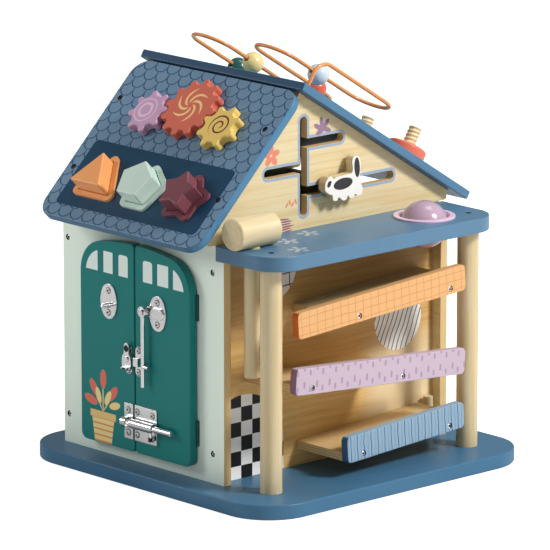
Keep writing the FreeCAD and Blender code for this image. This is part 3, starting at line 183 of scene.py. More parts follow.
world = bpy.data.worlds.new("studio")
scene.world = world
world.use_nodes = True
world.node_tree.nodes.clear()
tree = world.node_tree
path = add_node(tree, "ShaderNodeLightPath", output=["Is Camera Ray", "Is Transmission Ray"])
seen = path[0].at_least(path[1])
FILL = 0.28
strength = seen * (1.0 - FILL) + FILL
sky = add_node(tree, "ShaderNodeBackground", {}, {"Color": WHITE, "Strength": strength}, "Background")
add_node(tree, "ShaderNodeOutputWorld", {}, {"Surface": sky})


# Base board: thick board with round corners, sprayed in a satin steel blue. It stands on the floor
# and everything else is screwed or glued to it.
def place_in_mm(tree):
    """Object coordinates in millimetres, as three signals."""
    spot = add_node(tree, "ShaderNodeTexCoord", output="Object")
    spot = add_node(tree, "ShaderNodeVectorMath", {"operation": "SCALE"},
                    {"Vector": spot, "Scale": 1000.0}, "Vector")
    return add_node(tree, "ShaderNodeSeparateXYZ", {}, [spot], ["X", "Y", "Z"])


def facing(tree):
    """The surface's direction in the object's own axes, as three signals."""
    normal = add_node(tree, "ShaderNodeTexCoord", output="Normal")
    return add_node(tree, "ShaderNodeSeparateXYZ", {}, [normal], ["X", "Y", "Z"])


def noise(x, y, z, detail=2.0, roughness=0.5, distortion=0.0):
    """Noise from 0 to 1 at a place given in the noise's own units."""
    spot = add_node(x.tree, "ShaderNodeCombineXYZ", {}, [x, y, z], "Vector")
    return add_node(x.tree, "ShaderNodeTexNoise", {}, {
        "Vector": spot, "Scale": 1.0, "Detail": detail, "Roughness": roughness,
        "Distortion": distortion}, 0)


def surface(tree, colour, roughness, height=None, depth=0.02, soften=0.4, **fixed):
    """Principled surface. Height is a bump in units of depth; depth and the edges' soften are in mm."""
    normal = None
    if soften:
        normal = add_node(tree, "ShaderNodeBevel", {"samples": 4}, {"Radius": soften / 1000}, "Normal")
    if height is not None:
        normal = add_node(tree, "ShaderNodeBump", {}, {"Strength": 1.0, "Distance": depth / 1000,
                                                       "Height": height, "Normal": normal}, "Normal")
    sockets = {"Base Color": colour, "Roughness": roughness, "Normal": normal}
    fixed.setdefault("Specular_IOR_Level", 0.3)
    sockets.update({name.replace("_", " "): value for name, value in fixed.items()})
    shader = add_node(tree, "ShaderNodeBsdfPrincipled", {}, sockets, "BSDF")
    add_node(tree, "ShaderNodeOutputMaterial", {}, {"Surface": shader})


FILM = 0.03


def paint_film(x, y, z, patch=0.02):
    """Faint mottle in a sprayed colour and the fine stipple in its film, both from 0 to 1."""
    return noise(x * patch, y * patch, z * patch, 3.0, 0.6), noise(x * 1.4, y * 1.4, z * 1.4, 2.0)


def shaded(colour, share):
    return tuple(min(share * part, 1) for part in colour[:3]) + (1,)


def mottled(mottle, dark, light, spread=0.7):
    return mix((mottle - 0.5) * spread + 0.5, dark, light)


def sprayed(tree, colour, roughness, **fixed):
    """Satin sprayed paint in one colour."""
    mottle, stipple = paint_film(*place_in_mm(tree))
    colour = mottled(mottle, shaded(colour, 0.93), shaded(colour, 1.06))
    surface(tree, colour, mottle * 0.14 + (roughness - 0.07), stipple, FILM, **fixed)


def finish_nodes(material, *names):
    """Gives CAD pieces their finish."""
    for name in names:
        node = nodes[name]
        if not node.data.materials:
            node.data.materials.append(material)
        for slot in node.material_slots:
            slot.material = material


material, tree = new_material("base_paint")
sprayed(tree, tint("#3f6e8f"), 0.36)
finish_nodes(material, "base_board")


# Front and rear wall: birch plywood, painted pale mint on the outer face and left bare on its edges
# and inside. Each is screwed to the gable walls.
def inside(distance, blur=0.25):
    """1 where the distance in mm is negative, with a soft edge."""
    return (0.5 - distance / blur).clamped()


def length(first, second):
    return (first * first + second * second).math("SQRT")


GRAIN = 0.02


def birch(along, across, through):
    """Lacquered birch: long pale streaks with fine darker pores that run along the grain."""
    drift = noise(along * 0.004, across * 0.02, through * 0.02, 2.0)
    streak = noise(along * 0.006, across * 0.2 + drift * 4, through * 0.2, 6.0, 0.62, 0.2)
    pores = noise(along * 0.05, across * 2.6, through * 2.6, 3.0, 0.7)
    band = ((across * 0.09 + drift * 9).math("SINE") * 0.5 + 0.5) * 0.35
    shade = (streak * 2.0 - 0.5 + band * 0.4).clamped()
    pale = mix(shade, tint("#e6dbba"), tint("#d6bd86"))
    return mix((pores - 0.52) * 1.6, pale, tint("#c79f63")), pores


PLY_THICKNESS, PLIES = 9.0, 7


def ply_layers(through):
    """Mask of the dark cross plies of a board's edge, across its thickness from 0."""
    ply = (through * (PLIES / PLY_THICKNESS) * 0.5) % 1.0
    return inside((ply - 0.5) * 2.0, 0.6) * 0.3


def ply_edge(through):
    return mix(ply_layers(through), tint("#dcc08c"), tint("#b18a54"))


# Screw holes are painted near black: painted shade in the recesses round the sunk screws.
SCREW_HOLE_RADIUS, PAINTED_HOLE_SHADE = 3.5, tint("#23272a")


def screw_holes(first, first_ends, second, second_ends):
    """1 in the holes of sunk screws, which stand at both ends of two spans."""
    reaches = [abs(place - sum(ends) / 2) - abs(ends[0] - ends[1]) / 2
               for place, ends in ((first, first_ends), (second, second_ends))]
    return inside(length(*reaches) - SCREW_HOLE_RADIUS, 0.1)


WALL_FACE, WALL_TOP = 153, 252.0
WALL_SCREW_X, WALL_SCREW_Z = (73.5, -145.5), (45, 229.4)


def painted_wall(name, outward):
    material, tree = new_material(name)
    x, y, z = place_in_mm(tree)
    ny = facing(tree)[1]
    wood, pores = birch(x, z, y)
    raw = mix(inside(abs(ny) - 0.5, 0.1), wood, ply_edge(abs(y) - (WALL_FACE - PLY_THICKNESS)))
    # Painted shade in the screw holes.
    raw = mix(screw_holes(x, WALL_SCREW_X, z, WALL_SCREW_Z), raw, PAINTED_HOLE_SHADE)
    mottle, stipple = paint_film(x, y, z)
    paint = mottled(mottle, tint("#e3f1e4"), tint("#ebf7ec"), 0.6)
    painted = inside(0.5 - ny * outward, 0.1)
    height = pores + (stipple - pores) * painted
    surface(tree, mix(painted, raw, paint), 0.55 - painted * 0.12, height, FILM)
    return material


finish_nodes(painted_wall("front_wall_finish", -1), "front_wall")
finish_nodes(painted_wall("rear_wall_finish", 1), "rear_wall")


# Gable walls: lacquered birch plywood with the grain level. The right one has slots for the cat,
# edged with a printed blue band, and printed patches behind the ball run. There the wood carries painted
# shade, warm and darker towards the balcony, and a paler painted pool of light at the lower right.
RIGHT_FACE, LEFT_FACE, RUN_TOP = 78.0, -150.0, 243.0
SLOT_HALF_WIDTH, BAND_START, BAND_END = 4.9, 0.3, 2.9
SLOTS = [((-35.5, 274.6), (-35.5, 365.9)), ((-35.5, 343), (14.1, 343)), ((-83.7, 318.7), (-35.5, 318.7)),
         ((-35.5, 294.3), (83.5, 294.3))]


def slot_distance(y, z, ends, half_width):
    """Distance from a level or upright slot between two end centres."""
    (y1, z1), (y2, z2) = ends
    beside = (y1 - y).at_least(y - y2).at_least(0.0)
    above = (z1 - z).at_least(z - z2).at_least(0.0)
    return length(beside, above) - half_width


def gable_finish(name, outer_x, printed):
    material, tree = new_material(name)
    x, y, z = place_in_mm(tree)
    nx = facing(tree)[0]
    wood, pores = birch(y, z, x)
    colour = mix(inside(abs(nx) - 0.5, 0.1), wood, ply_edge(abs(x - outer_x)))
    if printed:
        face = inside(outer_x - 0.3 - x, 0.1)
        run = inside(z - RUN_TOP, 2.0) * face
        # Painted light and shade behind the ball run: a warm painted bounce light over the wood's own
        # grain, a paler painted pool of light at the lower right, and painted shade darkening towards the
        # balcony.
        painted_light_patch = ((y - 40.0) / 30.0).clamped() * ((140.0 - z) / 35.0).clamped()
        painted_balcony_shade = ((z - 60.0) / 190.0).clamped() * run
        grain = noise(y * 0.011, z * 0.34 + noise(y * 0.01, z * 0.02, x) * 3, x * 0.3, 5.0, 0.68)
        grain = ((grain - 0.5) * 3.2 + 0.5).clamped()
        painted_bounce_grain = mix(grain, tint("#f2c87c"), tint("#d7a352"))
        colour = mix(run * (0.8 - painted_light_patch * 0.45), colour, painted_bounce_grain)
        colour = mix(run * painted_light_patch * 0.5, colour, tint("#fff0cc"))
        colour = mix(painted_balcony_shade * 0.55, colour, tint("#8f6430"))
        colour = mix(gable_band(y, z) * face, colour, tint("#93a9c2"))
        for mask, paint in gable_prints(y, z):
            colour = mix(mask * face, colour, paint)
    surface(tree, colour, pores * 0.1 + 0.42, pores, GRAIN)
    return material


def either(*masks):
    return functools.reduce(Signal.at_least, masks)


def gable_band(y, z):
    """Printed band just outside the slots."""
    distances = [slot_distance(y, z, ends, SLOT_HALF_WIDTH) for ends in SLOTS]
    nearest = functools.reduce(Signal.at_most, distances)
    return inside(nearest - BAND_END) * inside(BAND_START - nearest)


def stripe_distance(periods, pitch):
    """Distance in mm from the nearest of many lines, where periods counts them and pitch parts them."""
    return abs((periods % 1.0) - 0.5) * pitch


def ellipse(x, y, centre, radii, turn):
    """Distance from a turned ellipse, nearly in mm."""
    c, s = math.cos(math.radians(turn)), math.sin(math.radians(turn))
    dx, dy = x - centre[0], y - centre[1]
    return (length((dx * c + dy * s) / radii[0], (dy * c - dx * s) / radii[1]) - 1.0) * min(radii)


def gable_prints(y, z):
    """Masks and colours of the printed patches: striped disc, grid disc, checked arch and four plants."""
    wobble = noise(y * 0.03, z * 0.03, 4.0, 1.0) - 0.5
    white, ink, black = tint("#fbfaf8"), tint("#2f3d57"), tint("#141517")
    disc = inside(length(y - 95.4, z - 144.0) - 32.6)
    lines = inside(stripe_distance(y * 0.155 - z * 0.062 + wobble * 0.8, 6.0) - 0.6)
    grid_disc = inside(length(y + 78.0, z - 222.0) - 33.0)
    cell = 12.5
    grid = either(inside(stripe_distance(y / cell + z * 0.004 + wobble * 0.25, cell) - 0.6),
                  inside(stripe_distance(z / cell - y * 0.005 + wobble * 0.25, cell) - 0.6))
    arch = inside(length(y + 117.0, (z - 46.0).at_least(0.0)) - 54.5) * inside(-142.5 - y)
    check = 15.0
    row = ((z - 13.2) / check).math("FLOOR")
    column = ((y + 134.5) / check).math("FLOOR")
    checks = inside(0.5 - ((row + column) % 2.0), 0.1)
    flower = either(*[inside(ellipse(y, z, (-79 + 6.5 * math.cos(turn), 337 + 6.5 * math.sin(turn)),
                                     (5.2, 3.4), math.degrees(turn)))
                      for turn in [math.radians(72 * petal + 18) for petal in range(5)]])
    leaves = either(*[inside(ellipse(y, z, (-9 + dx, 355.5 + dz), (6.0, 2.6), turn)) for dx, dz, turn in
                      ((-7, 2, 150), (-2, 6, 100), (4, 4, 50), (-4, -3, 200), (5, -2, 340))])
    tuft = either(*[inside(ellipse(y, z, (-62 + 2.5 * (n % 2), 254.5 + 2.6 * n),
                                   (11.0 - abs(n - 3) * 1.2, 0.9), 8 - 2 * n)) for n in range(7)])
    sprig = either(*[inside(ellipse(y, z, (-58 + 4 * n, 284 + 2 * (n % 2)), (3.0, 1.2),
                                    60 + 50 * (n % 2))) for n in range(4)])
    return [(disc, white), (disc * lines, ink), (grid_disc, white), (grid_disc * grid, black),
            (arch, white), (arch * checks, black), (flower, tint("#e0876d")), (leaves, tint("#93758f")),
            (tuft, tint("#98607a")), (sprig, tint("#dc8a63"))]


finish_nodes(gable_finish("right_gable_finish", RIGHT_FACE, True), "right_wall")
finish_nodes(gable_finish("left_gable_finish", LEFT_FACE, False), "left_wall")


# Front roof panel: painted board with printed scales and a plain dark field round the sorting holes.
# It is screwed to the gables' slopes.
DIAGONAL = 0.70711
FRONT_TOP_Y, FRONT_TOP_Z = -49.758, 399.465
ROOF_SCREW_X, FRONT_SCREW_DOWN = (75.5, -142.5), (49.7, 138)
SCALE_WIDTH, SCALE_PITCH, SCALE_LINE = 17.5, 11.5, 0.65
FIELD_X, FIELD_DOWN, FIELD_HALF_WIDTH, FIELD_HALF_HEIGHT, FIELD_CORNER = -30.5, 142.0, 105.5, 40.0, 6.0


def down_front_roof(y, z):
    """Distance down the slope from the panel's top edge, in mm."""
    return (y + z - (FRONT_TOP_Y + FRONT_TOP_Z)) * -DIAGONAL


def box_distance(beside, above, corner):
    """Distance outside a box with round corners, from the distances past its sides."""
    return length((beside + corner).at_least(0.0), (above + corner).at_least(0.0)) - corner


material, tree = new_material("scale_print")
x, y, z = place_in_mm(tree)
nx, ny, nz = facing(tree)
down = down_front_roof(y, z)
sway = (noise(x * 0.05, down * 0.05, 0.0, 1.0) - 0.5) * 0.1
level = down / SCALE_PITCH + sway
row = level.math("FLOOR")
rise = (level - row) * SCALE_PITCH
radius = SCALE_WIDTH / 2
side = (((x / SCALE_WIDTH + (row % 2.0) * 0.5 + sway) % 1.0) * 2.0 - 1.0) * radius
reach = length(side, (rise - (SCALE_PITCH - radius)).at_least(0.0)) - radius
outline = inside(abs(reach) - SCALE_LINE, 0.5)
scales = mix(noise(x * 0.4, down * 0.1, 0.0, 3.0), tint("#62809b"), tint("#7492ac"))
scales = mix(outline, scales, tint("#1f4569"))
field = inside(box_distance(abs(x - FIELD_X) - FIELD_HALF_WIDTH, abs(down - FIELD_DOWN) - FIELD_HALF_HEIGHT,
                            FIELD_CORNER))
out_of_slope = (nz - ny) * DIAGONAL
face = inside(0.9 - out_of_slope, 0.06)
# The edges facing right are painted lighter than the rest: painted light.
edges = mix(inside(0.5 - nx, 0.2), tint("#3f6788"), tint("#4a7da0"))
colour = mix(face, edges, mix(field, scales, tint("#0a3d5a")))
holes = screw_holes(x, ROOF_SCREW_X, down, FRONT_SCREW_DOWN) * inside(out_of_slope - 0.5, 0.1)
# Painted shade in the screw holes.
colour = mix(holes, colour, PAINTED_HOLE_SHADE)
mottle, stipple = paint_film(x, y, z)
surface(tree, colour, mottle * 0.14 + 0.34, stipple - outline * face * 0.4, FILM)
finish_nodes(material, "roof_front_panel")


# Sorting frames and blocks: routed and painted rings glued round the holes, and thick blocks that fit
# the holes. Satin orange, pale mint and plum.
for name, shade in (("triangle", "#eda263"), ("pentagon", "#c6dcd1"), ("star", "#7a444e")):
    material, tree = new_material(name + "_paint")
    sprayed(tree, tint(shade), 0.34, Coat_Weight=0.2, Coat_Roughness=0.2)
    finish_nodes(material, name + "_frame", name + "_block")


# Gears: thick painted plywood on hidden dowels, each with a pattern printed on its face: rings,
# a pinwheel and a spiral.
def round_place(x, y, z, centre_x, centre_down):
    """Polar place about a gear's middle on the front roof: distance in mm, and angle in turns."""
    dx, dy = x - centre_x, centre_down - down_front_roof(y, z)
    angle = add_node(x.tree, "ShaderNodeMath", {"operation": "ARCTAN2"}, [dy, dx]) / (2 * math.pi)
    return length(dx, dy), angle


def gear_finish(name, centre, paint, ink, pattern):
    material, tree = new_material(name + "_paint")
    x, y, z = place_in_mm(tree)
    nx, ny, nz = facing(tree)
    distance, angle = round_place(x, y, z, *centre)
    face = inside(0.95 - (nz - ny) * DIAGONAL, 0.04)
    mottle, stipple = paint_film(x, y, z, 0.03)
    base = mix(mottle, shaded(paint, 0.92), paint)
    surface(tree, mix(pattern(distance, angle) * face, base, ink), mottle * 0.12 + 0.3, stipple, FILM,
            Coat_Weight=0.45, Coat_Roughness=0.12)
    finish_nodes(material, name)


def rings(distance, angle):
    """A broad and a thin ring, drawn a little unevenly."""
    distance = distance + (angle * (2 * math.pi * 5)).math("SINE") * 0.2
    return either(inside(abs(distance - 7.8) - 1.5), inside(abs(distance - 13.7) - 0.7))


def pinwheel(distance, angle):
    """Six curved blades that thin towards their tips."""
    turned = ((angle * 6.0 + distance * 0.093) % 1.0) - 0.5
    width = abs(turned) * distance * (2 * math.pi / 6) / length(distance * 0.0977, 1.0)
    blade = ((distance - 2.5) * 0.35).at_most((21.0 - distance) * 0.28).at_most(1.35)
    return inside(width - blade)


def spiral(distance, angle):
    """One line that winds out by its pitch at each turn, between two radii."""
    pitch = 6.6
    line = inside(stripe_distance(distance / pitch - angle, pitch) - 1.0)
    return line * inside(distance - 13.4) * inside(2.5 - distance)


gear_finish("coral_gear", (-30.0, 46.25), tint("#d46a55"), tint("#efca86"), pinwheel)
gear_finish("lilac_gear", (-85.0, 62.2), tint("#c79fbf"), tint("#dfbfd8"), rings)
gear_finish("yellow_gear", (25.6, 62.1), tint("#ecca6c"), tint("#6d2a30"), spiral)


# Ball: turned wood under glossy lilac paint. It is pushed through a ring of the same colour that is
# let into the balcony.
material, tree = new_material("lilac_gloss")
sprayed(tree, tint("#b99eb2"), 0.2, soften=0, Coat_Weight=0.5, Coat_Roughness=0.08)
finish_nodes(material, "ball")
material, tree = new_material("lilac_paint")
sprayed(tree, tint("#dfc3d9"), 0.34)
finish_nodes(material, "ball_ring")


# Bead wire: thick steel wire with a glossy orange coating, bent into loops that stand above the rear
# roof. Both of its ends are glued into the roof.
material, tree = new_material("orange_wire")
sprayed(tree, tint("#dd9153"), 0.3, soften=0, Coat_Weight=0.4, Coat_Roughness=0.12)
finish_nodes(material, "bead_wire")


# Beads: small turned balls of wood under glossy paint, each drilled through and threaded on the wire.
# Cream, pale grey, coral and teal.
for name, shade in (("cream", "#ecd894"), ("grey", "#c9d6e2"), ("coral", "#dc6249"), ("teal", "#1f5b58")):
    material, tree = new_material(name + "_bead_gloss")
    sprayed(tree, tint(shade), 0.22, soften=0, Coat_Weight=0.4, Coat_Roughness=0.1)
    finish_nodes(material, name + "_bead")


# Rear roof panel: painted board screwed to the gables' slopes, with painted shade darkening its faces
# turned to the front, at the ridge. The bead wire and the pegs stand on it.
REAR_SLOPE = math.radians(32)
REAR_COS, REAR_SIN = math.cos(REAR_SLOPE), math.sin(REAR_SLOPE)
REAR_TOP_Y, REAR_TOP_Z = -44.3, 408.2
REAR_SCREW_DOWN = (49.7, 242)
ROOF_BLUE, ROOF_BLUE_LIGHT = tint("#497392"), tint("#517d9d")
material, tree = new_material("rear_roof_paint")
x, y, z = place_in_mm(tree)
down = (y - REAR_TOP_Y) * REAR_COS - (z - REAR_TOP_Z) * REAR_SIN
mottle, stipple = paint_film(x, y, z)
paint = mottled(mottle, ROOF_BLUE, ROOF_BLUE_LIGHT)
ny = facing(tree)[1]
# Painted shade: faces turned to the front, at the ridge, are darkened.
paint = mix(inside(ny + 0.5, 0.2) * 0.85, paint, tint("#153e60"))
# Painted shade in the screw holes.
paint = mix(screw_holes(x, ROOF_SCREW_X, down, REAR_SCREW_DOWN), paint, PAINTED_HOLE_SHADE)
surface(tree, paint, mottle * 0.14 + 0.29, stipple, FILM)
finish_nodes(material, "roof_rear_panel")


# Threaded pegs: turned beech dowels glued into the rear roof, with a coarse round thread cut above it
# and a small chamfer at the top.
PEG_X, PEG_DOWN, PEG_RADIUS, PEG_DEPTH, PEG_HEIGHT = (38.5, -31.5, -101.5), 214, 6.98, 9.0, 38.0
THREAD_PITCH, THREAD_DEPTH, THREAD_START, CHAMFER = 4.2, 0.95, 0.5, 0.9


def down_rear_roof(x, down, out):
    """A place on the rear roof, in metres, from mm across, down the slope and out of it."""
    return Vector((x, REAR_TOP_Y + down * REAR_COS + out * REAR_SIN,
                   REAR_TOP_Z - down * REAR_SIN + out * REAR_COS)) / 1000


def join_rings(name, rings_of_points):
    """A mesh skin over rings of points, each with the same count, capped at both ends."""
    points = [point for ring in rings_of_points for point in ring]
    count = len(rings_of_points[0])
    faces = []
    for level in range(len(rings_of_points) - 1):
        for place in range(count):
            after = (place + 1) % count
            low, high = level * count, (level + 1) * count
            faces.append((low + place, low + after, high + after, high + place))
    faces.append(tuple(reversed(range(count))))
    faces.append(tuple(range(len(points) - count, len(points))))
    mesh = bpy.data.meshes.new(name)
    mesh.from_pydata(points, [], faces)
    mesh.update()
    piece = bpy.data.objects.new(name, mesh)
    scene.collection.objects.link(piece)
    return piece


def smooth(piece, angle):
    """Smooth shading with sharp edges past the angle."""
    mesh = piece.data
    mesh.polygons.foreach_set("use_smooth", [True] * len(mesh.polygons))
    mesh.set_sharp_from_angle(angle=math.radians(angle))


def turned_wood(name, axis, roughness=0.42, deeper=0.0):
    """Turned wood whose grain runs along an axis, or up the roof's pegs; deeper tones it down."""
    material, tree = new_material(name)
    x, y, z = place_in_mm(tree)
    if axis == "roof":
        along, across = y * REAR_SIN + z * REAR_COS, y * REAR_COS - z * REAR_SIN
    else:
        along, across = (z, y) if axis == "z" else (y, z)
    wood, pores = birch(along, across, x)
    wood = mix(deeper, wood, tint("#a08c66"))
    surface(tree, wood, pores * 0.1 + roughness, pores, GRAIN, Specular_IOR_Level=0.6)
    return material


def peg_radius(level, turn):
    """The thread's radius at a height in mm and a turn from 0 to 1."""
    wave = 0.5 - 0.5 * math.cos(2 * math.pi * (level / THREAD_PITCH - turn))
    cut = THREAD_DEPTH * wave ** 0.8 if level > THREAD_START else 0.0
    return PEG_RADIUS - cut - (CHAMFER if level >= PEG_HEIGHT else 0.0)


peg_wood = turned_wood("peg_wood", "roof")
turns = [place / 48 for place in range(48)]
levels = [-PEG_DEPTH, 0.0] + [0.4 * step for step in range(1, 94)] + [PEG_HEIGHT - 0.4, PEG_HEIGHT]
for number, x in enumerate(PEG_X, start=1):
    peg = join_rings("roof_peg_%d" % number, [
        [down_rear_roof(x + peg_radius(level, turn) * math.cos(2 * math.pi * turn),
                        PEG_DOWN + peg_radius(level, turn) * math.sin(2 * math.pi * turn), level)
         for turn in turns] for level in levels])
    smooth(peg, 50)
    peg.data.materials.append(peg_wood)
    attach(peg, "house")
    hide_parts("roof_pegs")


# Nuts: round wooden discs with a threaded hole, painted coral, yellow and teal and turned down the
# pegs until they lie close to the roof.
for name, shade in (("coral", "#e2735c"), ("yellow", "#e3bd62"), ("teal", "#256a66")):
    material, tree = new_material(name + "_nut_paint")
    sprayed(tree, tint(shade), 0.34)
    finish_nodes(material, name + "_nut")


# Balcony: painted board with pale printed flowers, screwed down on two bare dowel posts. The posts share
# their wood with the hammer's handle and the stop peg.
BALCONY_TOP, BALCONY_SCREW_X, BALCONY_SCREW_Y = 257, 137, (-133, 136.6)
FLOWERS = ((97.0, -46.3), (110.2, -86.1), (143.4, -102.5))
FLOWER_EYE, PETAL_REACH, PETAL_RADII = 3.2, 8, (3.6, 2.4)
material, tree = new_material("balcony_paint")
x, y, z = place_in_mm(tree)
nz = facing(tree)[2]
mottle, stipple = paint_film(x, y, z)
petals = []
for middle_x, middle_y in FLOWERS:
    petals.append(inside(length(x - middle_x, y - middle_y) - FLOWER_EYE))
    for step in range(5):
        turn = math.radians(72 * step + 20)
        centre = middle_x + PETAL_REACH * math.cos(turn), middle_y + PETAL_REACH * math.sin(turn)
        petals.append(inside(ellipse(x, y, centre, PETAL_RADII, math.degrees(turn))))
flowers = either(*petals) * inside(BALCONY_TOP - 0.2 - z, 0.1)
colour = mix(flowers * 0.8, mottled(mottle, ROOF_BLUE, ROOF_BLUE_LIGHT), tint("#b9c2c9"))
holes = screw_holes(x, (BALCONY_SCREW_X, BALCONY_SCREW_X), y, BALCONY_SCREW_Y) * inside(abs(nz) - 0.5, 0.1)
# Painted shade in the screw holes.
colour = mix(holes, colour, PAINTED_HOLE_SHADE)
surface(tree, colour, mottle * 0.14 + 0.3, stipple, FILM, Specular_IOR_Level=0.6)
finish_nodes(material, "balcony_board")
finish_nodes(turned_wood("post_wood", "z", 0.24, 0.2), "balcony_posts", "hammer_handle", "ramp_stop_peg")


# Hammer: a turned wooden head on a dowel handle, which stands in a hole of the balcony. The head is
# left bare and is a little paler than the handle.
finish_nodes(turned_wood("hammer_wood", "y", deeper=0.14), "hammer_head")


# Ball run: bare plywood planks, and painted fascias with printed patterns: a drawn grid, short dashes
# and wavy stripes. Each fascia is screwed to its plank's outer edge.
RAMPS = {"top": (-111.35, 168.35, 3.7), "middle": (-115.9, 112.4, -4), "bottom": (-44.5, 30.7, 3.5)}
FASCIA_FACE = 153.7
material, tree = new_material("plank_wood")
x, y, z = place_in_mm(tree)
nz = facing(tree)[2]
wood, pores = birch(y, x, z)
edge = mix(inside(((z * 0.35) % 1.0) - 0.5, 0.3) * 0.6, tint("#dcc08c"), tint("#bb9660"))
wood = mix(0.45, wood, tint("#c99a58"))
surface(tree, mix(inside(abs(nz) - 0.5, 0.1), wood, edge), pores * 0.1 + 0.45, pores, GRAIN)
finish_nodes(material, "top_plank", "middle_plank", "bottom_plank")


def fascia_finish(ramp, paint, ink, pattern):
    """The pattern is drawn in the fascia's own run and rise, in mm. Its end towards the doors is painted a
    deeper tone, as painted shade.
    """
    start, height, slope = RAMPS[ramp]
    material, tree = new_material(ramp + "_fascia_paint")
    x, y, z = place_in_mm(tree)
    ny = facing(tree)[1]
    c, s = math.cos(math.radians(slope)), math.sin(math.radians(slope))
    run = (y - start) * c + (z - height) * s
    rise = (z - height) * c - (y - start) * s
    face = inside(FASCIA_FACE - 0.4 - x, 0.2)
    mottle, stipple = paint_film(x, y, z, 0.03)
    wander = noise(run * 0.05, rise * 0.05, start, 2.0) - 0.5
    colour = mix(pattern(run, rise, wander) * face, mix(mottle, shaded(paint, 0.95), paint), ink)
    # Painted shade: the end towards the doors is a deeper tone of the paint.
    colour = mix(inside(ny + 0.5, 0.2), colour, tuple(part ** 2.4 for part in paint[:3]) + (1,))
    surface(tree, colour, mottle * 0.12 + 0.36, stipple, FILM)
    finish_nodes(material, ramp + "_fascia")


def drawn_grid(run, rise, wander):
    upright = inside(stripe_distance(run / 10.4 + wander * 0.35, 10.4) - 0.4)
    level = inside(stripe_distance(rise / 8.4 + wander * 0.3, 8.4) - 0.35)
    return either(upright, level) * 0.6


def dashes(run, rise, wander):
    """Two columns of short upright dashes, repeated along the run."""
    repeat, half_width = 17.0, 1.25
    masks = []
    for column, middle, reach in ((11.1, 10.1, 2.3), (11.1, 27.6, 2.3), (1.9, 5.6, 1.7), (1.9, 22.2, 1.7)):
        beside = abs(((run - column + repeat / 2 + wander * 1.5) % repeat) - repeat / 2)
        above = (abs(rise - middle + wander * 1.5) - reach).at_least(0.0)
        masks.append(inside(length(beside, above) - half_width, 0.6))
    return either(*masks) * 0.75


def wavy_stripes(run, rise, wander):
    """Strong lines with fainter ones between them."""
    pitch = 9.3
    strong = inside(stripe_distance(run / pitch + wander * 0.4, pitch) - 0.5) * 0.9
    faint = inside(stripe_distance(run / pitch + wander * 0.5 + 0.45, pitch) - 0.7, 0.8) * 0.25
    return either(strong, faint)


fascia_finish("top", tint("#e2ad75"), tint("#b8793c"), drawn_grid)
fascia_finish("middle", tint("#c3b1c1"), tint("#9c7a9b"), dashes)
fascia_finish("bottom", tint("#8dabc2"), tint("#2d4562"), wavy_stripes)


# Cat: plywood cut-out, white on its outer face with dark printed patches and bare edges, on a dowel
# pin that a disc holds in the slot.
CAT_BACK = 82.0
material, tree = new_material("cat_paint")
x, y, z = place_in_mm(tree)
nx = facing(tree)[0]
wood, pores = birch(z, y, x)
patches = either(*[inside(ellipse(y, z, centre, radii, turn)) for centre, radii, turn in (
    ((5.5, 299), (13.0, 5.8), 4), ((24.6, 313), (3.8, 10.3), 4), ((-13.5, 301), (2.4, 3.6), -30))])
eye = inside(length(y + 11.0, z - 303.0) - 0.9)
face = inside(0.6 - nx, 0.1)
bare = mix(ply_layers(x - CAT_BACK), wood, tint("#a5814d"))
painted = mix(either(patches, eye), tint("#ece9e4"), tint("#2e2c2f"))
surface(tree, mix(face, bare, painted), 0.42 - face * 0.06, pores, GRAIN)
finish_nodes(material, "cat_figure")
finish_nodes(turned_wood("pin_wood", "y"), "cat_pin", "gear_axles")


# Doors: two thick leaves in satin deep green, arched at the top and hung on butt hinges. Pale window
# panes are printed along the arch, and a potted plant on the left leaf.
DOOR_MIDDLE, CROWN_Z, CROWN_RADIUS = -31.5, -50.3, 292
SHOULDER_X, SHOULDER_Z, SHOULDER_RADIUS = 49.0, 203.0, 34
PANE_SILL, PANE_INSET = 206.0, 9.0
PANES = ((-106.8, -87.5, 1.0), (-78.5, -64.5, 1.0), (-55.5, -41.5, 3.0), (-18.5, -4.5, 3.4),
         (3.2, 19.5, 1.0), (26.8, 44.5, 1.0))


def door_arch_distance(x, z, inset):
    """Distance outside the pair of doors' outline less an inset, above the spring line of the arch."""
    across = abs(x - DOOR_MIDDLE)
    crown = length(across, z - CROWN_Z) - (CROWN_RADIUS - inset)
    shoulder = length((across - SHOULDER_X).at_least(0.0), (z - SHOULDER_Z).at_least(0.0))
    return crown.at_least(shoulder - (SHOULDER_RADIUS - inset))


def panes(x, z):
    """Mask of the panes, each given by its left and right side and its corners' radius."""
    top = door_arch_distance(x, z, PANE_INSET)
    masks = [inside(box_distance(abs(x - (left + right) / 2) - (right - left) / 2, top, corner))
             for left, right, corner in PANES]
    return either(*masks) * inside(PANE_SILL - z)


